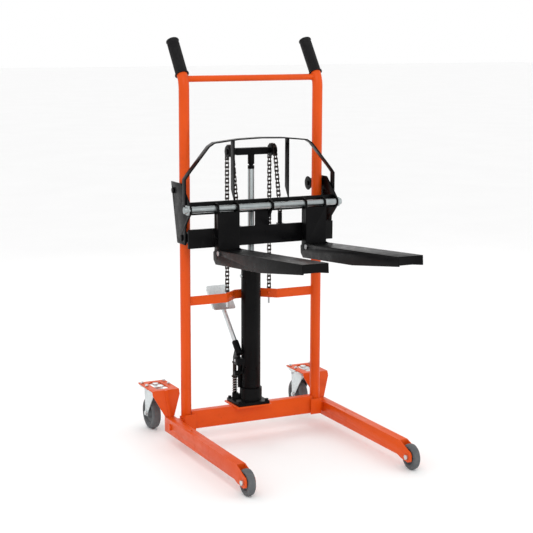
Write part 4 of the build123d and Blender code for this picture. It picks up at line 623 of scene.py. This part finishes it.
# %% [markdown]
# ## Wheels
#
# All four wheels are rubber tyres moulded on a core. The tread is crowned, the shoulders are round, and a
# raised ring runs round each side. The core is a shallow dish with a bearing boss. Tyre and core are two
# lathe profiles, mirrored left to right, so each is drawn from the middle of the tread outwards.

# %% Wheel profiles


def both_sides(half):
    """A closed outline from its right half of (place along the axis, radius) points."""
    return half + [(-s, r) for s, r in half[::-1]]


def tyre_profile(radius, half, rim):
    arc = [(half * sin(a), radius - half * 0.42 * (1 - cos(a))) for a in (0.12, 0.36, 0.62, 0.88)]
    wall = [(half * 0.93, radius - half * 0.34), (half, radius - half * 0.62), (half, radius - half * 0.9)]
    ring = [(half * 0.90, radius - half * 1.0), (half * 0.90, rim + 2.4 * MM), (half * 0.97, rim + 1.6 * MM)]
    lip = [(half * 0.97, rim), (half * 0.8, rim - 0.4 * MM)]
    inner = [(half * 0.8, rim - 2.5 * MM)]
    return both_sides(arc + wall + ring + lip + inner)


def core_profile(half, rim, boss, hub_half, bore):
    face = [(half * 0.84, rim - 0.2 * MM), (half * 0.84, rim - 3 * MM), (half * 0.45, rim - 6 * MM)]
    web = [(half * 0.40, boss + 5 * MM), (half * 0.55, boss + 2 * MM)]
    web += [(hub_half - MM, boss), (hub_half, boss - MM)]
    hole = [(hub_half, bore + 2 * MM), (hub_half - MM, bore + MM), (hub_half - 1.5 * MM, bore)]
    return both_sides(face + web + hole)


for node, tread_half in (("front_wheel", 13.5 * MM), ("caster_wheel", 18.0 * MM)):
    for side in SIDES:
        name = f"{node}_{side}"
        low, high = corners(name)
        centre = (low + high) / 2
        radius = (high.z - low.z) / 2
        hub_half = (high.x - low.x) / 2
        rim = radius * 0.66
        boss = radius * 0.24 + 3 * MM
        bm = lathe(tyre_profile(radius - 0.05 * MM, tread_half, rim), (1, 0, 0), centre, steps=72)
        place(f"{name}_tyre", bm, [name], body_of(name), smooth_angle=40)
        bm = lathe(core_profile(tread_half, rim, boss, hub_half, 6.1 * MM), (1, 0, 0), centre, steps=72)
        place(f"{name}_core", bm, [], body_of(name), finish="wheel_rubber", smooth_angle=40)
    print(node, "radius", round(radius, 3), "rim", round(rim, 3))

# %% [markdown]
# ## Softening the plain parts
#
# Sawn, bent and welded steel never has a perfectly sharp edge, and it is the thin highlight along an edge
# that makes a part look solid. For every part that already has the right shape we take a copy, weld its
# loose triangles together, join flat neighbours back into whole faces and bevel only the edges that turn
# sharply. How wide the bevel is depends on the part: a rounded plate edge takes more than a nut.

# %% Edge widths
EDGE = {
    "orange_paint": 1.1, "black_paint": 0.9, "zinc": 0.5, "steel": 0.5,
    "hard_chrome": 0.8, "chain_steel": 0.3,
}
WIDER = {
    "lower_crossbar": 1.8, "leg_left": 1.6, "leg_right": 1.6,
    "fork_blade_left": 1.2, "fork_blade_right": 1.2, "crosshead": 1.4,
    "hydraulic_base": 1.2, "cylinder_tube": 1.0, "ram_rod": 0.8,
    "mast_tube_left": 0.5, "mast_tube_right": 0.5, "top_cross_tube": 0.5,
    "load_guard": 0.7, "pedal_lever": 0.8,
}
# The plunger is blued and oily, so it is darker than the other machined steel.
DARKER = {"pump_plunger": "chain_steel"}


def softened(node, width):
    bm = bmesh.new()
    bm.from_mesh(nodes[node].data)
    bmesh.ops.remove_doubles(bm, verts=bm.verts, dist=1e-5)
    bmesh.ops.dissolve_limit(bm, angle_limit=radians(0.6), verts=bm.verts, edges=bm.edges)
    sharp = [e for e in bm.edges if len(e.link_faces) == 2 and e.calc_face_angle(0) > radians(32)]
    if sharp:
        bmesh.ops.bevel(bm, geom=sharp, offset=width, offset_type="OFFSET", segments=2, profile=0.5,
                        affect="EDGES", clamp_overlap=True, material=-1)
    return bm


done = {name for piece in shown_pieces() for name in piece.get("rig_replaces", [])}
faces = 0
BOLT_EDGE = 0.6 * MM
for spot, paint, stands_for in (
    ("leg", "orange_paint", ["frame_bolts"]),
    ("base", "black_paint", []),
):
    bm = softened("frame_bolts", BOLT_EDGE)
    others = [v for v in bm.verts if (abs(v.co.x) > MAST_X / 2) != (spot == "leg")]
    bmesh.ops.delete(bm, geom=others, context="VERTS")
    place(f"{spot}_bolts_painted", bm, stands_for, "frame", finish=paint, tidy=False)
done.add("frame_bolts")
for node in sorted(nodes):
    if node in done:
        continue
    width = WIDER.get(node, EDGE[slot_of[node]]) * MM
    finish = DARKER.get(node)
    piece = place(f"{node}_finished", softened(node, width), [node], body_of(node), finish, tidy=False)
    faces += len(piece.data.polygons)
print("softened", len(nodes) - len(done), "parts,", faces, "faces")

# %% [markdown]
# ## Weld beads
#
# The frame is welded, and every joint carries a bead: a thin rope of overlapping puddles laid along the
# corner. A bead is a small tube swept along a row of points, fatter and thinner in a steady ripple. The
# corners to follow come from the parts: round the cross tube's ends, down the strap's ends and round the
# tubes' feet.

# %% Beads
BEAD_R = 2.0 * MM
BEAD_STEP = 1.6 * MM


def bead(bm, points, radius=BEAD_R):
    """Sweep a rippled rope of eight sides along a row of points and close its ends."""
    rings = []
    for start, end in zip(points, points[1:]):
        count = max(1, round((end - start).length / BEAD_STEP))
        along = (end - start).normalized()
        across = along.orthogonal().normalized()
        over = along.cross(across)
        for step in range(count):
            size = radius * (1.0 if (len(rings) % 2) else 0.8) * random.uniform(0.93, 1.07)
            here = start.lerp(end, step / count)
            rings.append([bm.verts.new(here + size * (across * cos(a) + over * sin(a)))
                          for a in (k * pi / 4 for k in range(8))])
    for first, second in zip(rings, rings[1:]):
        nearest = min(range(8), key=lambda k: (second[k].co - first[0].co).length)
        for k in range(8):
            m = (k + nearest) % 8
            bm.faces.new((first[k], first[(k + 1) % 8], second[(m + 1) % 8], second[m]))
    for cap in (rings[0], rings[-1]):
        bm.faces.new(cap)


cross = middle("top_cross_tube")
low, high = corners("top_cross_tube")
cross_r = (high.z - low.z) / 2
strap_low, strap_high = corners("middle_strap")
bm = bmesh.new()
for sign in SIDES.values():
    ring = []
    for k in range(25):
        turn = 2 * pi * k / 24
        y, z = cross_r * cos(turn), cross_r * sin(turn)
        x = sign * (MAST_X - sqrt(TUBE_R ** 2 - y ** 2))
        ring.append(Vector((x, cross.y + y, cross.z + z)))
    bead(bm, ring)
    x = sign * (MAST_X - TUBE_R)
    for edge in (-3.0 * MM, 3.0 * MM):
        y = MAST_Y + edge
        bead(bm, [Vector((x, y, strap_low.z + MM)), Vector((x, y, strap_high.z - MM))])
    foot = [Vector((sign * MAST_X + TUBE_R * cos(t), MAST_Y + TUBE_R * sin(t), tube_low.z + 0.6 * MM))
            for t in (2 * pi * k / 30 for k in range(31))]
    bead(bm, foot, 2.6 * MM)
place("weld_beads", bm, [], "frame", finish="orange_paint", smooth_angle=60, tidy=False)
print("beads laid")

# %% Floor
bm = bmesh.new()
bmesh.ops.create_grid(bm, x_segments=2, y_segments=2, size=45.0)
mesh = bpy.data.meshes.new("studio_floor")
bm.to_mesh(mesh)
bm.free()
floor = bpy.data.objects.new("studio_floor", mesh)
bpy.context.scene.collection.objects.link(floor)
sweep = Finish("pale_floor", specular=0.2)
drift = sweep.between(sweep.noise(1.5, 3.0), 0.3, 0.7)
sweep.colour(sweep.blend(drift, (0.95, 0.95, 0.95), (0.97, 0.97, 0.97)))
sweep.roughness(sweep.between(sweep.noise(8.0), 0.3, 0.7, 0.75, 0.85))
mesh.materials.append(sweep.material)
print("floor laid")
